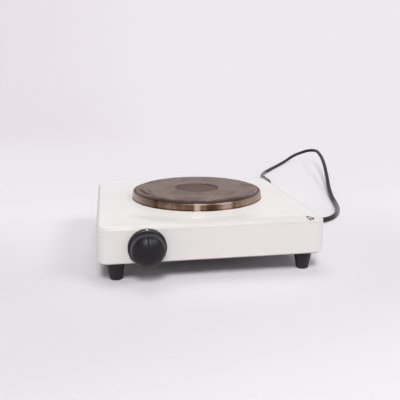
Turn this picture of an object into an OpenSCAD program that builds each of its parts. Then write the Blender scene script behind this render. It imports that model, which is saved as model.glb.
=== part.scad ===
// Portable hot plate with one cast-iron cooking plate, an enamelled steel body and a rotary heat control.
// Millimetres. X runs to the right, Y to the back and Z up from the surface that the feet stand on.

/* [Body] */
// Width of the enamelled body
body_w = 280; // [250:1:330]
// Depth of the enamelled body
body_d = 274; // [262:1:330]
// Height of the enamelled wall
body_h = 44.5; // [43:0.5:60]
// Radius of the upright corners
corner_r = 14; // [10:1:22]
// Radius of the edge round the top
edge_r = 5; // [3:0.5:7]
// Radius of the bend along the bottom edge
bend_r = 2; // [1.6:0.2:3]
// Thickness of the enamelled sheet
sheet_t = 1; // [0.8:0.1:1.4]
// Width of the lip turned in under the wall
lip_w = 9; // [6:0.5:12]

/* [Base and feet] */
// Thickness of the base sheet
base_t = 1; // [0.8:0.1:1.5]
// Distance of the base sheet's edge from the outside of the wall
base_inset = 3; // [2.5:0.5:6]
// Height of a foot
foot_h = 24.5; // [18:0.5:32]
// Diameter of a foot where it meets the base
foot_top_d = 23; // [18:0.5:26]
// Diameter of a foot where it stands
foot_tip_d = 16; // [14:0.5:20]
// Distance of a foot's axis from the two walls beside it
foot_inset = 21.5; // [20:0.5:28]
// Length of a vent slot
vent_l = 60; // [30:1:80]
// Width of a vent slot
vent_w = 4; // [3:0.5:5]
// Distance from one vent slot to the next
vent_pitch = 12; // [9:0.5:16]

/* [Hot plate] */
// Diameter of the cooking plate
plate_d = 180; // [145:1:190]
// Height of the cooking surface above the enamel
plate_rise = 12.5; // [9:0.5:15]
// Height of the casting
plate_t = 18.5; // [16:0.5:21]
// Distance of the plate's centre behind the body's centre
plate_back = 14; // [8:0.5:18]
// Distance of the plate's centre to the right of the body's centre
plate_side = 2.5; // [-5:0.5:5]
// Diameter of the sunken centre
recess_d = 62; // [40:1:66]
// Depth of the sunken centre
recess_depth = 1.6; // [0.8:0.1:2.2]
// Width of the rounded shoulder between the flat top and the rim
shoulder_w = 7; // [4:0.5:10]
// Height of the fall from the flat top to the rim
shoulder_drop = 2.5; // [1.5:0.1:3.5]
// Outer diameter of the spill ring's foot
ring_d = 187; // [155:1:200]
// Thickness of the spill ring's sheet
ring_t = 0.8; // [0.6:0.1:1]
// Diameter of the stud that holds the plate down
stud_d = 8; // [6:0.5:9]

/* [Control] */
// Diameter of the flange round the knob's foot
knob_d = 46; // [45.5:0.5:52]
// Diameter of the knob where its side meets its dome
grip_d = 39; // [36:0.5:41]
// Distance of the knob's front from the wall
knob_reach = 26.5; // [24:0.5:32]
// Distance of the knob's axis from the left wall
knob_side = 58.5; // [52:0.5:80]
// Height of the knob's axis above the bottom of the wall
knob_up = 19.5; // [19:0.5:24]
// Diameter of the control shaft
shaft_d = 6; // [5:0.5:7]

/* [Mains cord] */
// Outside diameter of the rubber cord
cord_d = 8; // [6.5:0.1:9]
// Distance of the gland from the right wall
gland_x = 52; // [48:1:80]
// Height of the gland above the bottom of the wall
gland_up = 12.5; // [11:0.5:16]
// Length of the gland's bend sleeve
sleeve_l = 36; // [24:1:50]
// Diameter of the plug
plug_d = 38; // [36:0.5:42]

/* [Hidden] */
$fn = 96;

// Clearances: pieces that stay together, the turning shaft, and loose holes for wires and leads
seat_gap = 0.1;
run_gap = 0.06;
loose_gap = 0.4;
over = 1;

// Levels from the floor up
shell_z = foot_h + base_t;
top_z = shell_z + body_h;
ceiling_z = top_z - sheet_t;
cook_z = top_z + plate_rise;
cast_z = cook_z - plate_t;

// Places in plan: the origin is under the middle of the body with its knob
body_cy = knob_reach / 2;
front_y = body_cy - body_d / 2;
rear_y = body_cy + body_d / 2;
plate_c = [plate_side, body_cy + plate_back, 0];
knob_c = [knob_side - body_w / 2, front_y, shell_z + knob_up];
cord_x = body_w / 2 - gland_x;
gland_c = [cord_x, rear_y, shell_z + gland_up];
corner_angles = [[1, 1, 0], [-1, 1, 90], [-1, -1, 180], [1, -1, 270]];
foot_spots = [for (s = corner_angles)
  [s[0] * (body_w / 2 - foot_inset), body_cy + s[1] * (body_d / 2 - foot_inset), 0]];

// Fasteners: shank, head and nut sizes of an M4 screw
screw_r = 2;
head_r = 3.6;
head_h = 2.2;
nut_af = 7;
nut_h = 3.2;
cross_w = 1;
cross_l = 4.4;
cross_depth = 1.2;

// Feet and lip
tab_round = 7;
tab_reach = 8.5;
foot_round = 2;
foot_seat = 12;
foot_bore_gap = 0.9;
foot_bore_r = head_r + foot_bore_gap;
vent_round = 0.45 * vent_w;

// Hot plate
plate_r = plate_d / 2;
shoulder_r = (shoulder_w ^ 2 + shoulder_drop ^ 2) / (2 * shoulder_drop);
shoulder_turn = acos(shoulder_w / shoulder_r);
flat_r = plate_r - shoulder_w;
rim_z = cook_z - shoulder_drop;
rim_h = 2.6;
rim_step = 4;
cast_r = plate_r - rim_step;
recess_slope = 1.2;
groove_h = 9;
wall_w = 6;
groove_w = 18;
groove_out = [cast_r - wall_w, cast_r - 2 * wall_w - groove_w];
spiral_r = [for (g = groove_out) g - groove_w / 2];
hub_r = 14;
hub_moat = groove_out[1] - groove_w - wall_w;
spiral_tube_r = 2.5;
spiral_z = cast_z + groove_h / 2;
spiral_gap = 10;
lead_r = 1.2;
lead_drop = 7;
cover_t = 0.6;
cover_r = cast_r - 1.5;
stud_grip = 9;
hole_gap = 1.5;
hole_r = cast_r + hole_gap;
collar_h = 3;
ring_r = ring_d / 2;
ring_gap = 0.4;
ring_foot = 0.9;
ring_bulge = 0.7;
bead_r = 0.7;
bead_rise = 0.3;

// Clamp under the plate
yoke_t = 2;
yoke_w = 26;
yoke_arm = 14;
yoke_z = cast_z - cover_t - yoke_t;
yoke_x = hole_r + sheet_t + 2;
washer_t = 1.6;
washer_r = 9;
clamp_nut_h = 6.5;
clamp_nut_af = 13;
stud_tail = 2;

// Ceramic connector under the plate
conn_c = plate_c - [0, (spiral_r[0] + spiral_r[1]) / 2, 0];
conn_w = 34;
conn_d = spiral_r[0] - spiral_r[1] + 14;
conn_h = 11;
conn_round = 3;
conn_top = cast_z - cover_t;
tab_w = 6.3;
tab_t = 0.8;
tab_hole_r = 0.8;
tab_in = 4;
tab_out = 9;
conn_tab_x = 9;

// Regulator behind the front wall
shaft_r = shaft_d / 2;
bracket_t = 1.5;
bracket_h = 34;
reg_w = 38;
reg_h = 34;
reg_depth = 28;
reg_lid = 2.5;
reg_round = 3;
lid_inset = 1.5;
lid_round = 2;
reg_back = sheet_t + bracket_t;
ear_l = 12;
bush_wall = 1.5;
bush_r = shaft_r + bush_wall;
bush_out = 1;
bush_in = 4;
shaft_hole_r = bush_r + loose_gap;
fix_x = 14;
fix_l = 8;
shaft_in = 18;
reg_tab_x = 11;
reg_tab_z = 9;

// Knob
knob_r = knob_d / 2;
grip_r = grip_d / 2;
skirt_gap = 1.2;
skirt_edge = 2.4;
skirt_step = 2.2;
skirt_rise = 1.6;
grip_round = 2.4;
dome_r = 1.28 * grip_r;
knob_wall = 2.4;
knob_front = 9;
hub_knob_r = 6.2;
hub_start = 3;
shaft_out = knob_reach - knob_front;
flat_depth = 1.4;
flat_x = shaft_r - flat_depth;
flat_start = hub_start + 1;
clip_t = 0.5;
clip_w = 3.6;
clip_room = clip_t + seat_gap;
pointer_w = 1.4;
pointer_l = 6.4;
pointer_depth = 0.8;
pointer_turn = 33;

// Cord, gland and clamp
cord_r = cord_d / 2;
gland_wall = 3.2;
gland_r = cord_r + gland_wall;
gland_flange = 2;
gland_lip = 1.5;
sleeve_tip = 1.6;
sleeve_ribs = 6;
rib_depth = 1;
rib_slope = 0.2;
tail_l = 46;
saddle_in = 30;
saddle_y = rear_y - saddle_in;
saddle_w = 30;
saddle_d = 12;
saddle_screw_x = 10.5;
saddle_split = 0.5;
clamp_t = 4;

// Terminal block and earth
block_side = 18;
block_in = 84;
block_c = [cord_x - block_side, rear_y - block_in, shell_z];
block_size = [38, 20, 15];
block_round = 2;
pole_pitch = 12;
pole_x = pole_pitch * [-1, 0, 1];
pole_hole_r = 1.9;
pole_up = 6;
pole_z = shell_z + pole_up;
pole_screw_y = 5;
block_screw_x = pole_pitch / 2;
earth_side = 21;
earth_in = 6;
earth_c = block_c + [block_size[0] / 2 + earth_side, -earth_in, 0];
earth_ring_r = 4.2;
earth_tongue = 11;

// Wires: their size, their straight runs, and the places they pass on their way
wire_r = 1.25;
wire_in = 4;
wire_lead = 10;
core_edge = 1.7;
core_lead = 5;
live_pass = [[40, 0, 0], [0, -50, 0]];
live_turn = [30, 40, 0];
switched_turn = [20, 16, -4];
switched_sag = [0, -6, -8];
switched_rise = [-8, -14, -6];
neutral_pass = [52, 0, 0];
neutral_turn = [40, 20, 4];
neutral_rise = [14, -12, -6];
earth_turn = [-7, -7, 2.5];

// Plug
plug_r = plug_d / 2;
plug_sleeve_l = 28;
plug_sleeve_wall = 4;
plug_sleeve_r = cord_r + plug_sleeve_wall;
plug_collar = [1, 4];
plug_shoulder = 9;
plug_turn = 80;
plug_edge = 2;
plug_body_l = 27;
pin_r = 2.4;
pin_l = 19;
pin_pitch = 19;
pin_seat = 8;
pin_tip = 1.2;
plug_face = plug_sleeve_l + plug_shoulder + plug_body_l;
clip_groove_w = 8.5;
clip_groove_d = 2.4;
clip_strip_w = 7.5;
clip_strip_t = 1;

// Route of the free cord: out of the gland, down to the floor, round and back to the plug behind the body
route = [
  gland_c, gland_c + [0, sleeve_l / 2, 0], gland_c + [0, sleeve_l, 0], gland_c + [0, sleeve_l + 20, -2],
  gland_c + [1, sleeve_l + 42, -10], gland_c + [4, sleeve_l + 66, -22], gland_c + [10, sleeve_l + 94, -31],
  [112, 309, 4], [140, 339, 4], [178, 363, 4], [214, 390, 4], [235, 425, 4], [240, 467, 4], [243, 506, 4],
  [256, 538, 4], [278, 573, 4], [344, 668, 5], [367, 699, 7], [379, 714, 9], [392, 725, 13], [407, 730, 19],
  [423, 728, 25], [437, 719, 31], [446, 705, 34], [449, 688, 35], [440, 642, 35], [423, 580, 33],
  [400, 508, 29], [366, 408, 18], [334, 318, 8], [314, 256, 4], [284, 162, 4], [270, 134, 4], [250, 109, 4],
  [222, 91, 6], [192, 92, 11], [169, 110, 16], [160, 138, 19], [160, 150, 19], [160, 163, 19]
];
plug_c = route[len(route) - 1];
cord_sides = 10;
wire_sides = 8;

// Smooth curve through hand-set points
function unit(v) = v / norm(v);
function mean_slope(p, i) =
  let (a = norm(p[i] - p[i - 1]), b = norm(p[i + 1] - p[i]))
  ((p[i] - p[i - 1]) / a * b + (p[i + 1] - p[i]) / b * a) / (a + b);
function slope(p, i) =
  i == 0 ? unit(p[1] - p[0]) :
  i == len(p) - 1 ? unit(p[i] - p[i - 1]) : mean_slope(p, i);
function between(p, i, t) =
  let (h = norm(p[i + 1] - p[i]))
  (2 * t ^ 3 - 3 * t ^ 2 + 1) * p[i] + (t ^ 3 - 2 * t ^ 2 + t) * h * slope(p, i) +
  (3 * t ^ 2 - 2 * t ^ 3) * p[i + 1] + (t ^ 3 - t ^ 2) * h * slope(p, i + 1);
function curve(p, steps) = concat(
  [for (i = [0 : len(p) - 2]) for (k = [0 : steps - 1]) between(p, i, k / steps)],
  [p[len(p) - 1]]
);
function raised(p, z) = [for (q = p) [q[0], q[1], max(q[2], z)]];
function heading(p, i) = unit(p[min(i + 1, len(p) - 1)] - p[max(i - 1, 0)]);
function ring_points(c, d, r, sides) =
  let (s = unit(cross(d, [0, 0, 1])), u = cross(s, d))
  [for (k = [0 : sides - 1]) let (a = 360 * (k + 0.5) / sides) c + r * (cos(a) * s + sin(a) * u)];

// Arc as points, from angle a to angle b
function arc(c, r, a, b, n) = [for (i = [0 : n]) let (t = a + (b - a) * i / n) c + r * [cos(t), sin(t)]];

// Tube swept along points, closed at both ends
module tube(p, r, sides) {
  rings = len(p);
  verts = [for (i = [0 : rings - 1]) each ring_points(p[i], heading(p, i), r, sides)];
  walls = [for (i = [0 : rings - 2]) for (k = [0 : sides - 1])
    let (a = i * sides + k, b = i * sides + (k + 1) % sides)
    each [[a, b, a + sides], [b, b + sides, a + sides]]];
  first = [for (k = [1 : sides - 2]) [0, k + 1, k]];
  last = [for (k = [1 : sides - 2]) let (e = (rings - 1) * sides) [e, e + k, e + k + 1]];
  polyhedron(concat(verts), concat(walls, first, last), convexity = 10);
}

// Piece that rounds off an outside corner of radius r, with its arc's centre at the origin
module corner_cut(r) {
  difference() {
    square(r + over);
    circle(r);
  }
}

module rounded_plan(w, d, r) {
  difference() {
    square([w, d], center = true);
    for (s = corner_angles)
      translate([s[0] * (w / 2 - r), s[1] * (d / 2 - r)]) rotate(s[2]) corner_cut(r);
  }
}

// Ring of fillet cutters round the edge of a rounded block, at height 0 with the fillet upwards
module edge_ring(w, d, r, e) {
  for (i = [0 : 3]) {
    across = i % 2 == 0 ? w : d;
    along = i % 2 == 0 ? d : w;
    rotate(90 * i) translate([across / 2 - e, 0, 0]) rotate([90, 0, 0])
      linear_extrude(along - 2 * r, center = true) corner_cut(e);
  }
  for (s = corner_angles)
    translate([s[0] * (w / 2 - r), s[1] * (d / 2 - r), 0]) rotate(s[2])
      rotate_extrude(angle = 90) translate([r - e, 0]) corner_cut(e);
}

// Block with upright corners of radius r, its top edge rounded by e and its bottom edge by b
module rounded_block(w, d, h, r, e, b) {
  difference() {
    linear_extrude(h) rounded_plan(w, d, r);
    translate([0, 0, h - e]) edge_ring(w, d, r, e);
    translate([0, 0, b]) mirror([0, 0, 1]) edge_ring(w, d, r, b);
  }
}

// Frames of the knob, with Z out of the front wall, and of the plug, with Z towards its pins
module at_knob() { translate(knob_c) rotate([90, 0, 0]) children(); }
module at_plug() { translate(plug_c) rotate([-90, 0, 0]) children(); }
module at_feet() { for (p = foot_spots) translate(p) children(); }

// Pan-head screw with its head's seat at height 0 and its shank upwards
module pan_screw(l) {
  difference() {
    union() {
      cylinder(r = screw_r, h = l);
      translate([0, 0, -head_h]) cylinder(r = head_r, h = head_h);
    }
    for (a = [0, 90]) rotate(a)
      translate([-cross_l / 2, -cross_w / 2, -head_h - over]) cube([cross_l, cross_w, cross_depth + over]);
  }
}

module hex_nut(af, h, bore) {
  difference() {
    cylinder(d = af / cos(30), h = h, $fn = 6);
    translate([0, 0, -over]) cylinder(r = bore, h = h + 2 * over);
  }
}

// Spade tab lying along Y, its tip forward
module spade_tab() {
  difference() {
    translate([-tab_w / 2, -tab_out, -tab_t / 2]) cube([tab_w, tab_out + tab_in - seat_gap, tab_t]);
    translate([0, -tab_out / 2, -tab_t]) cylinder(r = tab_hole_r, h = 2 * tab_t);
  }
}

// Corner of the lip that takes a foot's screw, rounded towards the middle of the base
module corner_tab(s) {
  out = foot_inset - lip_w + over;
  side = out + tab_reach;
  difference() {
    translate((out - tab_reach) / 2 * [s[0], s[1]]) square(side, center = true);
    translate((tab_round - tab_reach) * [s[0], s[1]]) rotate(s[2] + 180) corner_cut(tab_round);
  }
}

module body_shell() {
  color("whitesmoke") difference() {
    union() {
      translate([0, body_cy, shell_z]) difference() {
        rounded_block(body_w, body_d, body_h, corner_r, edge_r, bend_r);
        translate([0, 0, sheet_t])
          rounded_block(body_w - 2 * sheet_t, body_d - 2 * sheet_t, body_h - 2 * sheet_t,
            corner_r - sheet_t, edge_r - sheet_t, bend_r - sheet_t);
        translate([0, 0, -over]) linear_extrude(sheet_t + 2 * over) difference() {
          rounded_plan(body_w - 2 * lip_w, body_d - 2 * lip_w, corner_r / 2);
          for (i = [0 : 3]) translate([foot_spots[i][0], foot_spots[i][1] - body_cy])
            corner_tab(corner_angles[i]);
        }
      }
      translate(plate_c + [0, 0, ceiling_z - collar_h])
        cylinder(r = hole_r + sheet_t, h = collar_h + sheet_t / 2);
    }
    translate(plate_c + [0, 0, ceiling_z - collar_h - over])
      cylinder(r = hole_r, h = collar_h + 2 * sheet_t + over);
    at_feet() translate([0, 0, shell_z - over]) cylinder(r = screw_r + loose_gap, h = sheet_t + 2 * over);
    at_knob() translate([0, 0, -sheet_t - over]) cylinder(r = shaft_hole_r, h = sheet_t + 2 * over);
    at_knob() for (x = [-fix_x, fix_x])
      translate([x, 0, -sheet_t - over]) cylinder(r = screw_r + seat_gap, h = sheet_t + 2 * over);
    translate(gland_c) rotate([90, 0, 0]) translate([0, 0, -over])
      cylinder(r = gland_r + seat_gap, h = sheet_t + 2 * over);
  }
}

module base_plate() {
  rows_y = body_d / 2 - 2 * foot_inset - vent_w;
  rows = floor(rows_y / vent_pitch);
  color("dimgray") difference() {
    translate([0, body_cy, foot_h]) linear_extrude(base_t) difference() {
      rounded_plan(body_w - 2 * base_inset, body_d - 2 * base_inset, corner_r - base_inset);
      for (x = [-1, 1], i = [-rows : floor(rows / 2)])
        translate([x * (vent_l / 2 + vent_pitch), i * vent_pitch])
          rounded_plan(vent_l, vent_w, vent_round);
    }
    at_feet() translate([0, 0, foot_h - over]) cylinder(r = screw_r + loose_gap, h = base_t + 2 * over);
    translate([0, 0, foot_h - over]) {
      for (x = [-saddle_screw_x, saddle_screw_x])
        translate([cord_x + x, saddle_y, 0]) cylinder(r = screw_r + seat_gap, h = base_t + 2 * over);
      for (x = [-block_screw_x, block_screw_x])
        translate([block_c[0] + x, block_c[1], 0]) cylinder(r = screw_r + seat_gap, h = base_t + 2 * over);
      translate([earth_c[0], earth_c[1], 0]) cylinder(r = screw_r + seat_gap, h = base_t + 2 * over);
    }
  }
}

// Tapered foot with a rounded tip, bored for its screw
module foot(i) {
  tip_r = foot_tip_d / 2;
  top_r = foot_top_d / 2;
  color("black") translate(foot_spots[i]) difference() {
    rotate_extrude() polygon(concat(
      [[0, 0]], arc([tip_r - foot_round, foot_round], foot_round, -90, 0, 6),
      [[top_r, foot_h - foot_round], [top_r, foot_h], [0, foot_h]]
    ));
    translate([0, 0, -over]) cylinder(r = foot_bore_r, h = foot_seat + over);
    cylinder(r = screw_r + loose_gap, h = foot_h + over);
  }
}

module foot_rear_right() { foot(0); }
module foot_rear_left() { foot(1); }
module foot_front_left() { foot(2); }
module foot_front_right() { foot(3); }

module foot_screws() {
  color("silver") at_feet() translate([0, 0, foot_seat])
    pan_screw(foot_h - foot_seat + base_t + sheet_t + nut_h + head_h / 2);
}

module foot_nuts() {
  color("silver") at_feet() translate([0, 0, shell_z + sheet_t]) hex_nut(nut_af, nut_h, screw_r + seat_gap);
}

// Casting: a flat top with a sunken centre, a rounded shoulder, an overhanging rim and two grooves below
module cooking_plate() {
  recess_r = recess_d / 2;
  color([0.42, 0.39, 0.37]) translate(plate_c) difference() {
    rotate_extrude() polygon(concat(
      [[0, cook_z - recess_depth], [recess_r - recess_slope, cook_z - recess_depth], [recess_r, cook_z]],
      arc([flat_r, cook_z - shoulder_r], shoulder_r, 90, shoulder_turn, 8),
      [[plate_r, rim_z - rim_h], [cast_r, rim_z - rim_h], [cast_r, cast_z]],
      [for (g = groove_out) each [[g, cast_z], [g, cast_z + groove_h],
        [g - groove_w, cast_z + groove_h], [g - groove_w, cast_z]]],
      [[hub_moat, cast_z], [hub_moat, cast_z + groove_h], [hub_r, cast_z + groove_h], [hub_r, cast_z],
        [0, cast_z]]
    ));
    translate([0, 0, cast_z - over]) cylinder(r = stud_d / 2 + seat_gap, h = stud_grip + seat_gap + over);
  }
}

// Spill ring: a wall from its foot on the enamel to a bead beside the rim, with a flange under the rim
module spill_ring() {
  gap_r = plate_r + ring_gap;
  bead_z = rim_z + bead_rise - bead_r;
  flange_z = rim_z - rim_h;
  foot_z = top_z + ring_t;
  wall_base = ring_r - ring_foot;
  wall_head = gap_r + 2 * bead_r;
  function wall(s) = [
    wall_base + (wall_head - wall_base) * s + ring_bulge * sin(180 * s), foot_z + (bead_z - foot_z) * s];
  s_flange = (flange_z - ring_t - foot_z) / (bead_z - foot_z);
  steps = 8;
  color([0.6, 0.53, 0.42]) translate(plate_c) rotate_extrude() polygon(concat(
    [[ring_r, top_z], [ring_r, foot_z]],
    [for (i = [0 : steps - 1]) wall(i / steps)],
    arc([gap_r + bead_r, bead_z], bead_r, 0, 180, 6),
    [[gap_r, flange_z], [cast_r + loose_gap, flange_z], [cast_r + loose_gap, flange_z - ring_t]],
    [for (i = [steps : -1 : 0]) wall(s_flange * i / steps) - [ring_t, 0]],
    [[wall_base - ring_t, top_z]]
  ));
}

// Ends of a heating spiral of radius r, either side of the connector
function lead_spots(r) = [for (a = [-90 - spiral_gap, -90 + spiral_gap]) plate_c + r * [cos(a), sin(a), 0]];
lead_all = [for (r = spiral_r) each lead_spots(r)];

module lead_holes(r, z, h) {
  for (p = lead_all) translate(p + [0, 0, z]) cylinder(r = r, h = h);
}

module heating_spirals() {
  color("silver") {
    for (r = spiral_r) translate(plate_c + [0, 0, spiral_z]) rotate(spiral_gap - 90)
      rotate_extrude(angle = 360 - 2 * spiral_gap) translate([r, 0]) circle(spiral_tube_r);
    lead_holes(lead_r, conn_top - lead_drop, spiral_z - conn_top + lead_drop);
  }
}

module element_filler() {
  color("antiquewhite") difference() {
    for (g = groove_out) translate(plate_c) rotate_extrude() difference() {
      translate([g - groove_w + seat_gap, cast_z])
        square([groove_w - 2 * seat_gap, groove_h - seat_gap]);
      translate([g - groove_w / 2, spiral_z]) circle(spiral_tube_r + seat_gap);
    }
    lead_holes(lead_r + seat_gap, cast_z - over, spiral_z - cast_z + over);
  }
}

module plate_cover() {
  color("lightgray") difference() {
    translate(plate_c + [0, 0, conn_top]) cylinder(r = cover_r, h = cover_t);
    translate(plate_c + [0, 0, conn_top - over])
      cylinder(r = stud_d / 2 + loose_gap, h = cover_t + 2 * over);
    lead_holes(lead_r + loose_gap, conn_top - over, cover_t + 2 * over);
  }
}

module plate_stud() {
  low = yoke_z - washer_t - clamp_nut_h - stud_tail;
  color("silver") translate(plate_c + [0, 0, low]) cylinder(d = stud_d, h = cast_z + stud_grip - low);
}

// Yoke: a cranked bar that bears up against the inside of the top on both sides of the hole
module clamp_yoke() {
  end_x = yoke_x + yoke_arm;
  color("lightsteelblue") difference() {
    translate(plate_c + [0, yoke_w / 2, 0]) rotate([90, 0, 0]) linear_extrude(yoke_w) polygon([
      [-yoke_x - yoke_t, yoke_z], [yoke_x + yoke_t, yoke_z], [yoke_x + yoke_t, ceiling_z - yoke_t],
      [end_x, ceiling_z - yoke_t], [end_x, ceiling_z], [yoke_x, ceiling_z], [yoke_x, yoke_z + yoke_t],
      [-yoke_x, yoke_z + yoke_t], [-yoke_x, ceiling_z], [-end_x, ceiling_z],
      [-end_x, ceiling_z - yoke_t], [-yoke_x - yoke_t, ceiling_z - yoke_t]
    ]);
    translate(plate_c + [0, 0, yoke_z - over]) cylinder(r = stud_d / 2 + loose_gap, h = yoke_t + 2 * over);
  }
}

module clamp_washer() {
  color("silver") translate(plate_c + [0, 0, yoke_z - washer_t]) difference() {
    cylinder(r = washer_r, h = washer_t);
    translate([0, 0, -over]) cylinder(r = stud_d / 2 + loose_gap, h = washer_t + 2 * over);
  }
}

module clamp_nut() {
  color("silver") translate(plate_c + [0, 0, yoke_z - washer_t - clamp_nut_h])
    hex_nut(clamp_nut_af, clamp_nut_h, stud_d / 2 + seat_gap);
}

// Ceramic connector, with a slot for each tab in its front and a hole for each lead in its top
module plate_connector() {
  color("ivory") difference() {
    translate(conn_c + [0, 0, conn_top - conn_h])
      linear_extrude(conn_h) rounded_plan(conn_w, conn_d, conn_round);
    lead_holes(lead_r + seat_gap, conn_top - lead_drop - seat_gap, conn_h);
    at_connector_tabs() translate([-tab_w / 2 - seat_gap, -over, -tab_t / 2 - seat_gap])
      cube([tab_w + 2 * seat_gap, tab_in + over, tab_t + 2 * seat_gap]);
  }
}

module at_connector_tabs() {
  for (x = [-conn_tab_x, conn_tab_x]) translate(conn_c + [x, -conn_d / 2, conn_top - conn_h / 2]) children();
}

module connector_tabs() {
  color("gold") at_connector_tabs() spade_tab();
}

// Bracket: a plate inside the front wall with an ear down each side of the regulator
module regulator_bracket() {
  ear_x = reg_w / 2 + seat_gap;
  color("silver") at_knob() difference() {
    translate([0, 0, -reg_back]) union() {
      linear_extrude(bracket_t) square([2 * ear_x + 2 * bracket_t, bracket_h], center = true);
      for (x = [-ear_x - bracket_t, ear_x])
        translate([x, -bracket_h / 4, -ear_l]) cube([bracket_t, bracket_h / 2, ear_l + bracket_t / 2]);
    }
    translate([0, 0, -reg_back - over]) cylinder(r = bush_r + seat_gap / 2, h = bracket_t + 2 * over);
    for (x = [-fix_x, fix_x])
      translate([x, 0, -reg_back - over]) cylinder(r = screw_r + seat_gap, h = bracket_t + 2 * over);
  }
}

module shaft_bush() {
  color("goldenrod") at_knob() translate([0, 0, -reg_back - bush_in]) difference() {
    cylinder(r = bush_r, h = reg_back + bush_in + bush_out);
    translate([0, 0, -over]) cylinder(r = shaft_r + run_gap, h = reg_back + bush_in + bush_out + 2 * over);
  }
}

module at_regulator_tabs() {
  for (x = [-reg_tab_x, reg_tab_x], y = [-reg_tab_z, reg_tab_z])
    translate(knob_c + [x, reg_back + reg_depth + reg_lid, y]) rotate(180) children();
}

module regulator_body() {
  color("sienna") difference() {
    at_knob() {
      translate([0, 0, -reg_back - reg_depth])
        linear_extrude(reg_depth) rounded_plan(reg_w, reg_h, reg_round);
      translate([0, 0, -reg_back - reg_depth - reg_lid])
        linear_extrude(reg_lid + over) rounded_plan(reg_w - 2 * lid_inset, reg_h - 2 * lid_inset, lid_round);
    }
    at_knob() {
      translate([0, 0, -reg_back - shaft_in - seat_gap])
        cylinder(r = shaft_r + run_gap, h = shaft_in + over);
      translate([0, 0, -reg_back - bush_in - seat_gap])
        cylinder(r = bush_r + seat_gap, h = bush_in + seat_gap + over);
      for (x = [-fix_x, fix_x])
        translate([x, 0, -fix_l - seat_gap]) cylinder(r = screw_r + seat_gap, h = fix_l);
    }
    at_regulator_tabs() translate([-tab_w / 2 - seat_gap, -over, -tab_t / 2 - seat_gap])
      cube([tab_w + 2 * seat_gap, tab_in + over, tab_t + 2 * seat_gap]);
  }
}

module regulator_tabs() {
  color("gold") at_regulator_tabs() spade_tab();
}

module regulator_screws() {
  color("silver") at_knob() for (x = [-fix_x, fix_x])
    translate([x, 0, 0]) mirror([0, 0, 1]) pan_screw(fix_l);
}

module control_shaft() {
  color("silver") at_knob() difference() {
    translate([0, 0, -reg_back - shaft_in]) cylinder(r = shaft_r, h = reg_back + shaft_in + shaft_out);
    translate([flat_x, -shaft_r - over, flat_start]) cube([shaft_r, 2 * (shaft_r + over), shaft_out]);
  }
}

// Knob: a bevelled flange, a conical side and a dome, hollow behind, with a hub on the flatted shaft
module knob() {
  inner_r = grip_r - knob_wall;
  inner_dome = dome_r - knob_wall;
  dome_z = knob_reach - dome_r;
  dome_turn = acos((grip_r - grip_round) / (dome_r - grip_round));
  edge_z = dome_z + (dome_r - grip_round) * sin(dome_turn);
  steps = 12;
  first_turn = dome_turn + (90 - dome_turn) / steps;
  color([0.06, 0.06, 0.06]) at_knob() difference() {
    rotate_extrude() polygon(concat(
      [[0, skirt_gap], [knob_r, skirt_gap], [knob_r, skirt_gap + skirt_edge],
        [knob_r - skirt_step, skirt_gap + skirt_edge + skirt_rise]],
      arc([grip_r - grip_round, edge_z], grip_round, 0, dome_turn, 6),
      arc([0, dome_z], dome_r, first_turn, 90, steps - 1)
    ));
    rotate_extrude() polygon(concat(
      [[hub_knob_r, -over], [inner_r, -over]],
      arc([0, dome_z], inner_dome, acos(inner_r / inner_dome), acos(hub_knob_r / inner_dome), steps / 2)
    ));
    cylinder(r = knob_r - knob_wall, h = skirt_gap + skirt_edge);
    cylinder(r = hub_knob_r + over, h = hub_start);
    difference() {
      translate([0, 0, hub_start - over])
        cylinder(r = shaft_r + seat_gap / 2, h = shaft_out + seat_gap - hub_start + over);
      translate([flat_x + clip_room, -shaft_r - over, flat_start])
        cube([shaft_r, 2 * (shaft_r + over), knob_reach]);
    }
    translate([0, 0, dome_z]) rotate([-pointer_turn, 0, 0])
      translate([-pointer_w / 2, -pointer_l / 2, dome_r - pointer_depth])
        cube([pointer_w, pointer_l, pointer_depth + over]);
  }
}

module knob_clip() {
  color("silver") at_knob() translate([flat_x + (clip_room - clip_t) / 2, -clip_w / 2, flat_start + over])
    cube([clip_t, clip_w, shaft_out - flat_start - 2 * over]);
}

// Rubber gland: a flange on each side of the wall and a ribbed sleeve that tapers to the cord
module cord_gland() {
  sleeve_pitch = (sleeve_l - gland_flange) / (sleeve_ribs + 1);
  sleeve_slope = (cord_r + sleeve_tip - gland_r) / (sleeve_l - gland_flange);
  function taper(z) = gland_r + sleeve_slope * (z - gland_flange);
  color([0.1, 0.1, 0.1]) translate(gland_c) rotate([-90, 0, 0]) difference() {
    rotate_extrude() polygon(concat(
      [[cord_r + seat_gap, -sheet_t - gland_lip], [gland_r + gland_lip, -sheet_t - gland_lip],
        [gland_r + gland_lip, -sheet_t - seat_gap], [gland_r, -sheet_t - seat_gap], [gland_r, seat_gap],
        [gland_r + 2 * gland_lip, seat_gap], [gland_r + 2 * gland_lip, gland_flange]],
      [for (i = [0 : sleeve_ribs - 1]) let (z = gland_flange + (i + 0.4) * sleeve_pitch) each [
        [taper(z), z], [taper(z) - rib_depth, z + rib_slope], [taper(z) - rib_depth, z + sleeve_pitch / 3],
        [taper(z), z + sleeve_pitch / 3 + rib_slope]]],
      [[cord_r + sleeve_tip, sleeve_l], [cord_r + seat_gap, sleeve_l]]
    ));
  }
}

module cord_tail() {
  color([0.12, 0.12, 0.12]) translate(gland_c) rotate([90, 0, 0]) cylinder(r = cord_r, h = tail_l);
}

module at_saddle_screws(z) {
  for (x = [-saddle_screw_x, saddle_screw_x]) translate([cord_x + x, saddle_y, z]) children();
}

module cord_groove() {
  translate([cord_x, saddle_y + saddle_d, gland_c[2]]) rotate([90, 0, 0])
    cylinder(r = cord_r + seat_gap, h = 2 * saddle_d);
}

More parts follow.
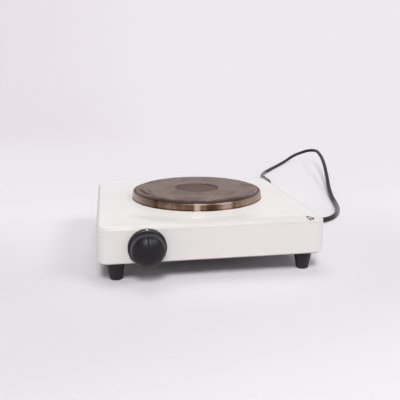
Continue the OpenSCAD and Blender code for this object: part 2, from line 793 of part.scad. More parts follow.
module cord_saddle() {
  color("gainsboro") difference() {
    translate([cord_x - saddle_w / 2, saddle_y - saddle_d / 2, shell_z])
      cube([saddle_w, saddle_d, gland_up - saddle_split]);
    cord_groove();
    at_saddle_screws(shell_z - over) cylinder(r = screw_r + seat_gap, h = gland_up + over);
  }
}

module cord_clamp() {
  low = gland_c[2] + saddle_split;
  color("gainsboro") difference() {
    translate([cord_x - saddle_w / 2, saddle_y - saddle_d / 2, low])
      cube([saddle_w, saddle_d, cord_r + clamp_t - saddle_split]);
    cord_groove();
    at_saddle_screws(low - over) cylinder(r = screw_r + seat_gap, h = clamp_t + over);
  }
}

module saddle_screws() {
  color("silver") at_saddle_screws(foot_h) pan_screw(base_t + gland_up + saddle_split + clamp_t - over);
}

module terminal_block() {
  color("ivory") difference() {
    translate(block_c) linear_extrude(block_size[2]) rounded_plan(block_size[0], block_size[1], block_round);
    for (x = pole_x) {
      translate([block_c[0] + x, block_c[1] + block_size[1], pole_z]) rotate([90, 0, 0])
        cylinder(r = pole_hole_r, h = 2 * block_size[1]);
      for (y = [-pole_screw_y, pole_screw_y]) translate(block_c + [x, y, pole_z - shell_z])
        cylinder(r = screw_r + seat_gap, h = block_size[2]);
    }
    for (x = [-block_screw_x, block_screw_x]) translate(block_c + [x, 0, -over])
      cylinder(r = screw_r + seat_gap, h = block_size[2] / 2 + over);
  }
}

// Grub screws over the ends of the wires
module terminal_screws() {
  low = pole_z + wire_r + seat_gap;
  high = shell_z + block_size[2] - 1;
  color("gold") for (x = pole_x, y = [-pole_screw_y, pole_screw_y])
    translate([block_c[0] + x, block_c[1] + y, low]) difference() {
      cylinder(r = screw_r, h = high - low);
      translate([-screw_r - over, -cross_w / 4, high - low - cross_depth])
        cube([2 * (screw_r + over), cross_w / 2, cross_depth + over]);
    }
}

module block_screws() {
  color("silver") for (x = [-block_screw_x, block_screw_x])
    translate([block_c[0] + x, block_c[1], foot_h]) pan_screw(base_t + block_size[2] / 2 - over);
}

module earth_screw() {
  color("silver") translate([earth_c[0], earth_c[1], foot_h]) pan_screw(base_t + tab_t + nut_h + over);
}

module earth_nut() {
  color("silver") translate(earth_c + [0, 0, tab_t]) hex_nut(nut_af, nut_h, screw_r + seat_gap);
}

module earth_tag() {
  color("gold") translate(earth_c) difference() {
    union() {
      cylinder(r = earth_ring_r, h = tab_t);
      translate([-earth_tongue, -wire_r, 0]) cube([earth_tongue, 2 * wire_r, tab_t]);
    }
    translate([0, 0, -over]) cylinder(r = screw_r + seat_gap, h = tab_t + 2 * over);
  }
}

// Insulated wire along hand-set points
module wire(p) { tube(curve(p, 3), wire_r, wire_sides); }

function pole(i, side) = [block_c[0] + pole_x[i], block_c[1] + side * (block_size[1] / 2 - wire_in), pole_z];
function pole_mouth(i, side) = pole(i, side) + [0, side * 2 * wire_in, 0];
function core_end(a) =
  [cord_x, rear_y - tail_l - seat_gap, gland_c[2]] + (cord_r - core_edge) * [cos(a), 0, sin(a)];
function reg_tab(x, z) =
  knob_c + [x * reg_tab_x, reg_back + reg_depth + reg_lid + tab_out + seat_gap, z * reg_tab_z];
function conn_tab(x) = conn_c + [x * conn_tab_x, -conn_d / 2 - tab_out - seat_gap, conn_top - conn_h / 2];

module core(i, a) {
  start = core_end(a);
  wire([start, start - [0, core_lead, 0], (start + pole_mouth(i, 1)) / 2, pole_mouth(i, 1), pole(i, 1)]);
}

module core_live() { color("saddlebrown") core(0, 90); }
module core_neutral() { color("royalblue") core(1, 210); }
module core_earth() { color("yellowgreen") core(2, 330); }

module wire_live() {
  tab = reg_tab(1, -1);
  low = [0, 0, pole_z];
  color("saddlebrown") wire([
    pole(0, -1), pole_mouth(0, -1), plate_c + low + live_pass[0], plate_c + low + live_pass[1],
    [tab[0], tab[1], pole_z] + live_turn, tab + [0, wire_lead, 0], tab
  ]);
}

module wire_switched() {
  from = reg_tab(1, 1);
  to = conn_tab(-1);
  color("dimgray") wire([
    from, from + [0, wire_lead, 0], from + switched_turn, (from + to) / 2 + switched_sag,
    to + switched_rise, to - [0, wire_lead, 0], to
  ]);
}

module wire_neutral() {
  to = conn_tab(1);
  low = [0, 0, pole_z];
  color("royalblue") wire([
    pole(1, -1), pole_mouth(1, -1), plate_c + low + neutral_pass, [to[0], to[1], pole_z] + neutral_turn,
    to + neutral_rise, to - [0, wire_lead, 0], to
  ]);
}

module wire_earth() {
  to = earth_c + [-earth_tongue - seat_gap, 0, wire_r];
  color("yellowgreen") wire([pole(2, -1), pole_mouth(2, -1), to + earth_turn, to - [wire_in / 2, 0, 0], to]);
}

module mains_cord() {
  color([0.1, 0.1, 0.1]) tube(raised(curve(route, 2), cord_r), cord_r, cord_sides);
}

// Moulded round plug: a tapered sleeve, a shoulder and a body grooved for its two earth clips
module plug_body() {
  color([0.1, 0.1, 0.1]) at_plug() difference() {
    rotate_extrude() polygon(concat(
      [[0, 0], [cord_r + sleeve_tip, 0], [plug_sleeve_r, plug_sleeve_l - plug_collar[1]],
        [plug_sleeve_r + plug_collar[0], plug_sleeve_l]],
      arc([plug_r - plug_shoulder, plug_sleeve_l + plug_shoulder], plug_shoulder, -plug_turn, 0, 6),
      [[plug_r, plug_face - plug_edge], [plug_r - plug_edge, plug_face], [0, plug_face]]
    ));
    for (y = [-1, 1]) translate([0, y * (plug_r - clip_groove_d / 2), plug_sleeve_l + plug_shoulder])
      translate([-clip_groove_w, -clip_groove_d, 0] / 2)
        cube([clip_groove_w, clip_groove_d, plug_body_l + over]);
    at_pins() translate([0, 0, plug_face - pin_seat]) cylinder(r = pin_r + seat_gap, h = pin_seat + over);
  }
}

module at_pins() {
  for (x = [-pin_pitch / 2, pin_pitch / 2]) translate([x, 0, 0]) children();
}

module plug_pins() {
  pin_end = pin_seat + pin_l;
  color("silver") at_plug() at_pins() translate([0, 0, plug_face - pin_seat + seat_gap])
    rotate_extrude() polygon(concat(
      [[0, 0], [pin_r, 0]], arc([pin_r - pin_tip, pin_end - pin_tip], pin_tip, 0, 90, 4), [[0, pin_end]]
    ));
}

module plug_clips() {
  strip_y = plug_r - clip_groove_d + clip_strip_t / 2 + seat_gap;
  color("silver") at_plug() for (y = [-1, 1])
    translate([0, y * strip_y, plug_sleeve_l + plug_shoulder + seat_gap])
      translate([-clip_strip_w, -clip_strip_t, 0] / 2)
        cube([clip_strip_w, clip_strip_t, plug_body_l - 2 * seat_gap]);
}

body_shell();
base_plate();
foot_front_left();
foot_front_right();
foot_rear_left();
foot_rear_right();
foot_screws();
foot_nuts();
cooking_plate();
spill_ring();
heating_spirals();
element_filler();
plate_cover();
plate_stud();
clamp_yoke();
clamp_washer();
clamp_nut();
plate_connector();
connector_tabs();
regulator_bracket();
shaft_bush();
regulator_body();
regulator_tabs();
regulator_screws();
control_shaft();
knob();
knob_clip();
cord_gland();
cord_tail();
cord_saddle();
cord_clamp();
saddle_screws();
terminal_block();
terminal_screws();
block_screws();
earth_screw();
earth_nut();
earth_tag();
core_live();
core_neutral();
core_earth();
wire_live();
wire_switched();
wire_neutral();
wire_earth();
mains_cord();
plug_body();
plug_pins();
plug_clips();
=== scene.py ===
"""Looks of a portable hot plate: finishes, dial figures, mains lead, floor, light and camera.

Metres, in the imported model's own frame: X to the right, Y to the back and Z up from the floor.
"""

import logging
import math
from dataclasses import dataclass
from enum import Enum
from typing import Any, Mapping, Optional, Sequence, Union

import bpy
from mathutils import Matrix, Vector


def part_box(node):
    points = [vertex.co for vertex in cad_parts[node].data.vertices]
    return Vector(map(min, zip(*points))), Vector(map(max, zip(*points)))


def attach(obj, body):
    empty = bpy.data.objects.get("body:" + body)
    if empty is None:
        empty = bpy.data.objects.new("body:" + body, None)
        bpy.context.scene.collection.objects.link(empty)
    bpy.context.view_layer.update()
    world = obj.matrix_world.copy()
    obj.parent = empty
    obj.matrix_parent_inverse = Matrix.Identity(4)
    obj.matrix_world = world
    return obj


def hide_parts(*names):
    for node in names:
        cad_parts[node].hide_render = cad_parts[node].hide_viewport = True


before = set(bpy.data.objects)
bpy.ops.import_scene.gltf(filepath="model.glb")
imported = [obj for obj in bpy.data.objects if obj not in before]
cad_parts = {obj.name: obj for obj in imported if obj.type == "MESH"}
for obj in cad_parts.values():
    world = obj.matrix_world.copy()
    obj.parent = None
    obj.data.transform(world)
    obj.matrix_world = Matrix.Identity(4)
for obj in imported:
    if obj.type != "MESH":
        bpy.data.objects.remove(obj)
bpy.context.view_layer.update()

MM = 0.001
LOG = logging.getLogger("hot_plate")
Colour = tuple[float, float, float]
Point = tuple[float, float, float]
Band = tuple[float, float]
Stops = Sequence[tuple[float, Colour]]
# Direction from the plate's axis to the cook, counter-clockwise from +X
COOK_SIDE = math.radians(-99.0)


def srgb(red: float, green: float, blue: float) -> Colour:
    """Turns a colour as it is seen on a screen into the linear one that shaders take.

    Args:
        red: Red from 0 to 255.
        green: Green from 0 to 255.
        blue: Blue from 0 to 255.

    Returns:
        The linear colour, each channel from 0 to 1.
    """
    def linear(level: float) -> float:
        """One channel of the colour."""
        share = level / 255
        return share / 12.92 if share <= 0.04045 else ((share + 0.055) / 1.055) ** 2.4

    return linear(red), linear(green), linear(blue)


class Slot(Enum):
    """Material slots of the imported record."""

    ENAMEL = "enamel"
    BASE_STEEL = "base_steel"
    FOOT_PLASTIC = "foot_plastic"
    ZINC_STEEL = "zinc_steel"
    CAST_IRON = "cast_iron"
    STAINED_STEEL = "stained_steel"
    RESISTANCE_WIRE = "resistance_wire"
    FILLER = "filler"
    COVER_STEEL = "cover_steel"
    CERAMIC = "ceramic"
    BRASS = "brass"
    PHENOLIC = "phenolic"
    KNOB_PLASTIC = "knob_plastic"
    CORD_RUBBER = "cord_rubber"
    GRIP_PLASTIC = "grip_plastic"
    INSULATION_BROWN = "insulation_brown"
    INSULATION_BLACK = "insulation_black"
    INSULATION_BLUE = "insulation_blue"
    INSULATION_EARTH = "insulation_earth"
    NICKEL = "nickel"


class Lay(Enum):
    """Direction of the fine lines that rolling leaves in a sheet, as a stretch of the texture."""

    NONE = (1.0, 1.0, 1.0)
    ALONG_X = (0.05, 1.0, 1.0)
    ALONG_Y = (1.0, 0.05, 1.0)


Operand = Union["Wire", float, Colour]


class Wire:
    """An output socket that can stand in a Python expression.

    Values add Math nodes, vectors add Vector Math nodes and colours add Mix nodes.
    """

    def __init__(self, graph: "Graph", socket: Optional[bpy.types.NodeSocket]) -> None:
        """Wraps a socket of the graph's tree."""
        self.graph = graph
        self.socket = socket

    def __add__(self, other: Operand) -> "Wire":
        """Sum."""
        return self.graph.combine("ADD", self, other)

    def __radd__(self, other: Operand) -> "Wire":
        """Sum with the wire on the right."""
        return self.graph.combine("ADD", other, self)

    def __sub__(self, other: Operand) -> "Wire":
        """Difference."""
        return self.graph.combine("SUBTRACT", self, other)

    def __rsub__(self, other: Operand) -> "Wire":
        """Difference with the wire on the right."""
        return self.graph.combine("SUBTRACT", other, self)

    def __mul__(self, other: Operand) -> "Wire":
        """Product."""
        return self.graph.combine("MULTIPLY", self, other)

    def __rmul__(self, other: Operand) -> "Wire":
        """Product with the wire on the right."""
        return self.graph.combine("MULTIPLY", other, self)

    def __truediv__(self, other: Operand) -> "Wire":
        """Quotient."""
        return self.graph.combine("DIVIDE", self, other)

    def __rtruediv__(self, other: Operand) -> "Wire":
        """Quotient with the wire on the right."""
        return self.graph.combine("DIVIDE", other, self)

    def __abs__(self) -> "Wire":
        """Value without its sign."""
        return self.graph.math("ABSOLUTE", self)

    def output(self, name: str) -> "Wire":
        """Another output of the same node."""
        return Wire(self.graph, self.socket.node.outputs[name])


class Graph:
    """A node tree that shaders are written into."""

    def __init__(self, tree: bpy.types.NodeTree) -> None:
        """Starts with an empty tree."""
        self.tree = tree
        tree.nodes.clear()

    def node(
        self,
        kind: str,
        settings: Optional[Mapping[str, Any]] = None,
        sockets: Optional[Mapping[Union[str, int], Any]] = None,
        output: Union[str, int] = 0,
    ) -> Wire:
        """Adds one node.

        Args:
            kind: The node's type.
            settings: Its own settings, set first; stops are a ramp's places and colours.
            sockets: Values or wires of its inputs, by name or number.
            output: The output that is wanted.

        Returns:
            The wire of that output, which is empty for a node that ends the tree.
        """
        made = self.tree.nodes.new(kind)
        for name, value in (settings or {}).items():
            if name == "stops":
                self._set_stops(made.color_ramp, value)
            else:
                setattr(made, name, value)
        for key, value in (sockets or {}).items():
            self._feed(made.inputs[key], value)
        return Wire(self, made.outputs[output] if made.outputs else None)

    @staticmethod
    def _set_stops(ramp: bpy.types.ColorRamp, stops: Stops) -> None:
        """Gives a ramp its stops.

        Args:
            ramp: The ramp, which starts with two stops.
            stops: Places from 0 to 1, in order, with their colours.
        """
        ramp.elements.remove(ramp.elements[1])
        ramp.elements[0].position, first = stops[0]
        ramp.elements[0].color = (*first, 1.0)
        for place, colour in stops[1:]:
            ramp.elements.new(place).color = (*colour, 1.0)

    def _feed(self, socket: bpy.types.NodeSocket, value: Any) -> None:
        """Links a wire to an input, or sets the input's own value.

        Args:
            socket: The input.
            value: A wire, a number or three numbers.
        """
        if isinstance(value, Wire):
            self.tree.links.new(value.socket, socket)
            return
        triple = value if isinstance(value, (tuple, list)) else (value,) * 3
        if socket.type == "RGBA":
            socket.default_value = (*triple, 1.0)
        elif socket.type == "VECTOR":
            socket.default_value = triple
        else:
            socket.default_value = value

    def combine(self, operation: str, left: Operand, right: Operand) -> Wire:
        """Works out one operation with the node that suits what the wires carry.

        Args:
            operation: ADD, SUBTRACT, MULTIPLY or DIVIDE.
            left: The first term.
            right: The second term.

        Returns:
            The result.
        """
        carried = {term.socket.type for term in (left, right) if isinstance(term, Wire)}
        if "RGBA" in carried:
            settings = {"data_type": "RGBA", "blend_type": operation}
            return self.node("ShaderNodeMix", settings, {0: 1.0, 6: left, 7: right}, 2)
        kind = "ShaderNodeVectorMath" if "VECTOR" in carried else "ShaderNodeMath"
        return self.node(kind, {"operation": operation}, {0: left, 1: right})

    def math(self, operation: str, *terms: Operand) -> Wire:
        """A Math node's result for values."""
        return self.node("ShaderNodeMath", {"operation": operation}, dict(enumerate(terms)))

    def mix(self, first: Operand, second: Operand, share: Operand) -> Wire:
        """A colour that goes from first to second as share goes from 0 to 1."""
        return self.node("ShaderNodeMix", {"data_type": "RGBA"}, {0: share, 6: first, 7: second}, 2)

    def rise(self, value: Wire, low: float, high: float) -> Wire:
        """A smooth step from 0 at low to 1 at high."""
        limits = {"Value": value, "From Min": low, "From Max": high}
        return self.node("ShaderNodeMapRange", {"interpolation_type": "SMOOTHSTEP"}, limits)

    def fall(self, value: Wire, low: float, high: float) -> Wire:
        """A smooth step from 1 at low to 0 at high."""
        return 1 - self.rise(value, low, high)

    def greater(self, first: Operand, second: Operand) -> Wire:
        """The greater of two values."""
        return self.math("MAXIMUM", first, second)

    def length(self, *parts: Wire) -> Wire:
        """The length of a vector with these parts."""
        squares = [part * part for part in parts]
        return self.math("SQRT", sum(squares[1:], squares[0]))

    def ramp(self, value: Wire, stops: Stops) -> Wire:
        """A colour read from stops."""
        return self.node("ShaderNodeValToRGB", {"stops": stops}, {"Fac": value})

    def shade(self, value: Wire, low: float, high: float, dark: float) -> Wire:
        """A grey that goes from dark at low to white at high."""
        return self.ramp(value, [(low, (dark,) * 3), (high, (1.0,) * 3)])

    def place(self) -> Wire:
        """The point on the piece, in the piece's own frame."""
        return self.node("ShaderNodeTexCoord", output="Object")

    def axes(self, vector: Wire) -> tuple[Wire, Wire, Wire]:
        """A vector's three numbers."""
        split = self.node("ShaderNodeSeparateXYZ", sockets={0: vector})
        return split, split.output("Y"), split.output("Z")

    def polar(self, x: Wire, y: Wire) -> tuple[Wire, Wire]:
        """Place round an axis, as seen from above.

        Args:
            x: Distance to the right of the axis.
            y: Distance behind the axis.

        Returns:
            The radius, and the angle in radians from the cook's side, positive to the right.
        """
        ahead = x * math.cos(COOK_SIDE) + y * math.sin(COOK_SIDE)
        aside = y * math.cos(COOK_SIDE) - x * math.sin(COOK_SIDE)
        return self.length(x, y), self.math("ARCTAN2", aside, ahead)

    def noise(self, vector: Wire, scale: float, detail: float = 2.0, distortion: float = 0.0) -> Wire:
        """Cloudy values from 0 to 1.

        Args:
            vector: The point that is looked up.
            scale: Patches in a metre.
            detail: Finer layers on top of the first.
            distortion: How far the patches are drawn out.

        Returns:
            The values.
        """
        sockets = {"Vector": vector, "Scale": scale, "Detail": detail, "Distortion": distortion}
        return self.node("ShaderNodeTexNoise", sockets=sockets)

    def bump(self, height: Wire, depth: float, under: Optional[Wire] = None) -> Wire:
        """A normal that follows a height.

        Args:
            height: The height, from 0 to 1.
            depth: What a height of 1 stands for, in metres.
            under: A normal that this one lies on.

        Returns:
            The normal.
        """
        sockets = {"Height": height, "Distance": depth}
        if under is not None:
            sockets["Normal"] = under
        return self.node("ShaderNodeBump", sockets=sockets)

    def light(self, kind: str, colour: Colour, strength: float = 1.0) -> Wire:
        """An Emission or Background node, which gives off light."""
        return self.node(kind, sockets={"Color": colour, "Strength": strength})

    def blend(self, first: Wire, second: Wire, share: Operand) -> Wire:
        """A shader that goes from first to second as share goes from 0 to 1."""
        return self.node("ShaderNodeMixShader", sockets={0: share, 1: first, 2: second})

    def surface(self, **sockets: Any) -> None:
        """Ends a material with a Principled shader, whose sockets are named with underscores."""
        named = {name.replace("_", " "): value for name, value in sockets.items()}
        shader = self.node("ShaderNodeBsdfPrincipled", sockets=named)
        self.node("ShaderNodeOutputMaterial", sockets={"Surface": shader})


@dataclass(frozen=True)
class Finish:
    """A material of the hot plate."""

    slot: Slot

    def make(self) -> bpy.types.Material:
        """The finish as a Blender material."""
        material = bpy.data.materials.new(self.slot.value)
        material.use_nodes = True
        self.paint(Graph(material.node_tree))
        return material

    def paint(self, graph: Graph) -> None:
        """Writes the finish into a tree."""
        raise NotImplementedError


@dataclass(frozen=True)
class RimArc:
    """An arc bent along the rim, used for burnt crusts on the plate and for painted reflections of the
    plate and ring on the enamel; angles in degrees.
    """

    angle: float
    half_angle: float
    radius: float
    half_width: float
    strength: float
    fray: float = 2.2

    def mask(self, graph: Graph, radius: Wire, angle: Wire, ragged: Wire) -> Wire:
        """Share of the arc at a point.

        Args:
            graph: The tree.
            radius: The point's distance from the plate's axis.
            angle: The point's angle from the cook's side, in radians.
            ragged: Noise that frays the arc.

        Returns:
            The share, from 0 to the arc's strength.
        """
        along = (angle - math.radians(self.angle)) / math.radians(self.half_angle)
        across = (radius - self.radius) / self.half_width
        spread = graph.length(along, across) + (ragged - 0.5) * self.fray
        return graph.fall(spread, 0.25, 1.15) * self.strength


@dataclass(frozen=True)
class Chip:
    """A spot where the enamel has broken off an edge: a dark ring round a patch of the ground coat."""

    centre: Point
    half_width: float
    reach_back: float
    reach_front: float
    hollow: float = 0.0
    hollow_edge: float = 0.12

    def spread(self, graph: Graph, place: Wire) -> Wire:
        """Distance from the chip's centre, with 1 at its ragged edge.

        Args:
            graph: The tree.
            place: The point on the enamel.

        Returns:
            The distance.
        """
        x, y, _ = graph.axes(place - self.centre)
        back = graph.greater(y, 0.0) / self.reach_back
        front = graph.math("MINIMUM", y, 0.0) / self.reach_front
        ragged = graph.noise(place, scale=420, detail=3) - 0.5
        return graph.length(x / self.half_width, back + front) + ragged


@dataclass(frozen=True)
class Enamel(Finish):
    """White vitreous enamel: a wavy skin, painted shade on the walls and the top's edges, clouds of dirt, a
    darker band along the bottom edge, painted reflections of the plate and ring, pinholes and chips.
    """

    colour: Colour
    # Colour of clouds of dirt, of a darker band along the bottom edge and of painted reflections of the
    # plate and ring
    darkening_colour: Colour
    steel: Colour
    ground: Colour
    # The walls' colour and the colour of the top's edges, both darker than the top: painted shade
    dull: Colour
    thin: Colour
    low: Vector
    high: Vector
    plate_centre: Point
    chips: tuple[Chip, ...]
    # Painted reflections of the plate and ring on the enamel in front of them
    ring_reflections: tuple[RimArc, ...]
    hem_width: float = 3.0 * MM
    edge_height: float = 6.0 * MM
    # Extent of the painted shade along the right edge and along the top's front edge
    side_start: float = 7.0 * MM
    side_full: float = 3.5 * MM
    front_full: float = 6.0 * MM
    front_end: float = 20.0 * MM
    strip: Band = (-70.0 * MM, -20.0 * MM)
    skin_depth: float = 0.05 * MM
    chip_depth: float = 0.3 * MM

    def paint(self, graph: Graph) -> None:
        """Writes the enamel into a tree."""
        place = graph.place()
        x, y, z = graph.axes(place)
        cloud = graph.noise(place, scale=14, detail=3)
        # Darker in clouds of dirt and in a band along the bottom edge
        hem = graph.fall(z, self.low.z, self.low.z + self.hem_width)
        darkening = graph.rise(cloud, 0.48, 0.78) * 0.35 + hem * 0.45
        radius, angle = graph.polar(x - self.plate_centre[0], y - self.plate_centre[1])
        # Painted reflections of the plate and ring, as darker arcs in front of them
        for ring_reflection in self.ring_reflections:
            darkening = darkening + ring_reflection.mask(graph, radius, angle, cloud * 0.3 + 0.35)
        # Painted shade: the walls take the dull colour, the top's edges the thin colour, and only the top
        # its own colour
        edge_low = self.high.z - self.edge_height
        stops = [(0.0, self.dull), (0.25, self.thin), (0.85, self.thin), (1.0, self.colour)]
        colour = graph.ramp((z - edge_low) / self.edge_height, stops)
        # More painted shade along the right edge and along the top's front edge, fading out towards its
        # left end
        side = graph.rise(x, self.high.x - self.side_start, self.high.x - self.side_full)
        strip = graph.fall(y, self.low.y + self.front_full, self.low.y + self.front_end)
        strip = strip * graph.rise(x, *self.strip)
        upper = graph.rise(z, edge_low, edge_low + 0.5 * self.edge_height)
        painted_edge_shade = graph.greater(side * 0.7, strip * 0.42) * upper
        colour = graph.mix(graph.mix(colour, self.thin, painted_edge_shade), self.darkening_colour, darkening)
        pinhole = graph.node("ShaderNodeTexVoronoi", sockets={"Vector": place, "Scale": 70.0})
        chance, _, _ = graph.axes(pinhole.output("Color"))
        hole = graph.fall(pinhole, 0.010, 0.018) * graph.rise(chance, 0.90, 0.91)
        colour = graph.mix(colour, self.steel, hole * 0.8)
        broken: Operand = 0.0
        for chip in self.chips:
            spread = chip.spread(graph, place)
            inside = graph.fall(spread, 0.85, 1.0)
            core = graph.fall(spread, chip.hollow - chip.hollow_edge, chip.hollow + chip.hollow_edge)
            colour = graph.mix(colour, graph.mix(self.steel, self.ground, core), inside)
            broken = graph.greater(broken, inside)
        skin = graph.bump(graph.noise(place, scale=120, detail=1), self.skin_depth)
        gloss = graph.noise(place, scale=60) * 0.08 + 0.40
        graph.surface(
            Base_Color=colour, Roughness=gloss + broken * 0.4,
            Normal=graph.bump(1 - broken, self.chip_depth, skin),
            Coat_Weight=(1 - broken) * 0.2, Coat_Roughness=0.06, Specular_IOR_Level=0.1,
        )


@dataclass(frozen=True)
class CastIron(Finish):
    """Turned cast iron, browned by heat, with a darker sunken centre, a sooty rim and burnt-on crusts."""

    body: Colour
    stain: Colour
    pale: Colour
    recess: Colour
    rim: Colour
    centre: Point
    radius: float
    burns: tuple[RimArc, ...]
    recess_radius: float = 31.0 * MM
    rim_start: float = 3.6 * MM
    rim_full: float = 0.4 * MM
    rim_wider: float = 1.5 * MM
    front: Band = (0.6, 1.2)
    turning_pitch: float = 1.1 * MM
    turning_wobble: float = 0.4 * MM
    turning_depth: float = 0.02 * MM
    skin_depth: float = 0.05 * MM

    def paint(self, graph: Graph) -> None:
        """Writes the iron into a tree."""
        place = graph.place()
        x, y, _ = graph.axes(place - self.centre)
        radius, angle = graph.polar(x, y)
        patches = graph.noise(place, scale=26, detail=4, distortion=0.4)
        specks = graph.noise(place, scale=240, detail=3)
        colour = graph.mix(self.body, self.stain, graph.rise(patches, 0.46, 0.66))
        rubs = graph.noise(place * (1.0, 1.0, 0.0), scale=17, detail=3, distortion=0.8)
        worn = graph.rise(rubs, 0.56, 0.74) * graph.rise(radius, 0.3 * self.radius, 0.85 * self.radius)
        colour = graph.mix(colour, self.pale, worn)
        sunk = graph.fall(radius, self.recess_radius - 1.0 * MM, self.recess_radius + 0.2 * MM)
        colour = graph.mix(colour, self.recess, sunk * 0.9)
        outline = graph.fall(abs(radius - self.recess_radius), 0.3 * MM, 1.6 * MM)
        colour = graph.mix(colour, self.rim, outline * 0.45)
        front = graph.fall(abs(angle), *self.front)
        reach = radius + front * self.rim_wider
        edge = graph.rise(reach, self.radius - self.rim_start, self.radius - self.rim_full)
        colour = graph.mix(colour, self.rim, edge * (specks * 0.6 + front * 0.25 + 0.35))
        ragged = graph.noise(place, scale=210, detail=4)
        crust = edge * 0.5
        for burn in self.burns:
            share = burn.mask(graph, radius, angle, ragged)
            colour = graph.mix(colour, self.rim, share)
            crust = graph.greater(crust, share)
        colour = colour * graph.shade(specks, 0.3, 0.7, 0.72)
        wave = (radius + patches * self.turning_wobble) * (2 * math.pi / self.turning_pitch)
        normal = graph.bump(graph.math("SINE", wave) * 0.5 + 0.5, self.turning_depth)
        normal = graph.bump(graph.noise(place, scale=900, detail=3), self.skin_depth, normal)
        graph.surface(
            Base_Color=colour, Metallic=0.25, Roughness=0.5 + patches * 0.25 + crust * 0.2, Normal=normal,
            Specular_IOR_Level=0.4,
        )


@dataclass(frozen=True)
class ReflectionStripe:
    """An upright stripe of the spill ring, brighter than its neighbours as a painted highlight, or browner
    as a painted dark reflection; angles in degrees.
    """

    angle: float
    half_angle: float
    lift: float

    def tint(self, graph: Graph, angle: Wire) -> Wire:
        """What the stripe adds to the tint at an angle from the cook's side, in radians."""
        away = abs(angle - math.radians(self.angle))
        half = math.radians(self.half_angle)
        return graph.fall(away, 0.2 * half, half) * self.lift


@dataclass(frozen=True)
class HeatTint(Finish):
    """Spun stainless steel that heat has tinted from straw to bronze, with painted shade at its bead and
    foot, a painted highlight under the bead, and painted highlights and reflections in upright stripes and
    on its flanks.
    """

    # Painted reflection of the pale room on the ring's flanks: the first colour on the left, the second on
    # the right
    grey: Colour
    right_flank_reflection: Colour
    bright: Colour
    straw: Colour
    bronze: Colour
    brown: Colour
    centre: Point
    foot: float
    bead: float
    # Upright stripes of painted highlight and painted reflection round the ring
    reflection_stripes: tuple[ReflectionStripe, ...]
    # Where the painted highlight along the line under the bead lies round the ring
    rubbed: ReflectionStripe
    flank_start: float = 36.0
    flank_full: float = 68.0
    # Heights of the painted shade on the bead, of the line with the painted highlight under it, and of the
    # painted shade at the foot
    bead_start: float = 0.9 * MM
    bead_full: float = 0.4 * MM
    line_start: float = 2.6 * MM
    line_full: float = 2.0 * MM
    foot_full: float = 0.8 * MM
    foot_end: float = 2.6 * MM
    spun_depth: float = 0.006 * MM

    def paint(self, graph: Graph) -> None:
        """Writes the tinted steel into a tree."""
        place = graph.place()
        x, y, z = graph.axes(place - self.centre)
        _, angle = graph.polar(x, y)
        height = graph.rise(z, self.foot, self.bead)
        flat = graph.node("ShaderNodeCombineXYZ", sockets={0: x, 1: y})
        drift = graph.noise(flat, scale=11, detail=3, distortion=0.3)
        fine = graph.noise(flat, scale=170)
        # Painted shade along the top of the bead, where it meets the plate
        bead = graph.rise(z, self.bead - self.bead_start, self.bead - self.bead_full)
        # The line just under the bead where the painted highlight lies
        line = graph.rise(z, self.bead - self.line_start, self.bead - self.line_full) - bead
        # Painted shade at the foot of the ring, where it meets the enamel
        sooty = graph.fall(z, self.foot + self.foot_full, self.foot + self.foot_end)
        tint = drift * 0.3 + fine * 0.3 - height * 0.05 - bead * 0.25 - sooty * 0.12 + 0.23
        # Painted highlight along the line under the bead
        tint = tint + line * self.rubbed.tint(graph, angle)
        # Painted highlights and painted reflections in upright stripes
        for reflection_stripe in self.reflection_stripes:
            tint = tint + reflection_stripe.tint(graph, angle)
        stops = [(0.1, self.brown), (0.35, self.bronze), (0.55, self.straw), (1.0, self.bright)]
        colour = graph.ramp(tint, stops)
        # Painted reflection of the pale room on the ring's flanks, turned away from the cook's side
        flank_reflection = graph.rise(abs(angle), math.radians(self.flank_start), math.radians(self.flank_full))
        side_reflections = graph.mix(self.grey, self.right_flank_reflection, graph.rise(angle, -0.5, 0.5))
        colour = graph.mix(colour, side_reflections, flank_reflection * 0.8)
        spun = graph.noise(place * (0.0, 0.0, 1.0), scale=5200)
        soot = graph.rise(graph.noise(place, scale=160, detail=3), 0.62, 0.72)
        colour = graph.mix(colour, self.brown, soot * 0.5)
        graph.surface(
            Base_Color=colour, Metallic=1.0, Roughness=0.22 + drift * 0.14 + soot * 0.25,
            Normal=graph.bump(spun, self.spun_depth),
        )


@dataclass(frozen=True)
class Sheet(Finish):
    """Plated or painted sheet and turned metal, with rolling lines and dull clouds."""

    colour: Colour
    dull: Colour
    metallic: float
    roughness: float
    lay: Lay = Lay.NONE
    line_depth: float = 0.012 * MM

    def paint(self, graph: Graph) -> None:
        """Writes the metal into a tree."""
        place = graph.place()
        cloud = graph.noise(place, scale=45, detail=3)
        lines = graph.noise(place * self.lay.value, scale=1500)
        colour = graph.mix(self.colour, self.dull, graph.rise(cloud, 0.35, 0.75))
        graph.surface(
            Base_Color=colour * graph.shade(lines, 0.25, 0.75, 0.86), Metallic=self.metallic,
            Roughness=self.roughness + cloud * 0.15, Normal=graph.bump(lines, self.line_depth),
        )


@dataclass(frozen=True)
class BendSheen:
    """A bend of the lead with a painted grey sheen."""

    centre: Point
    reach: float
    strength: float

    def mask(self, graph: Graph, place: Wire) -> Wire:
        """Share of the grey at a point of the lead."""
        away = graph.length(*graph.axes(place - self.centre))
        return graph.fall(away, 0.3 * self.reach, self.reach) * self.strength


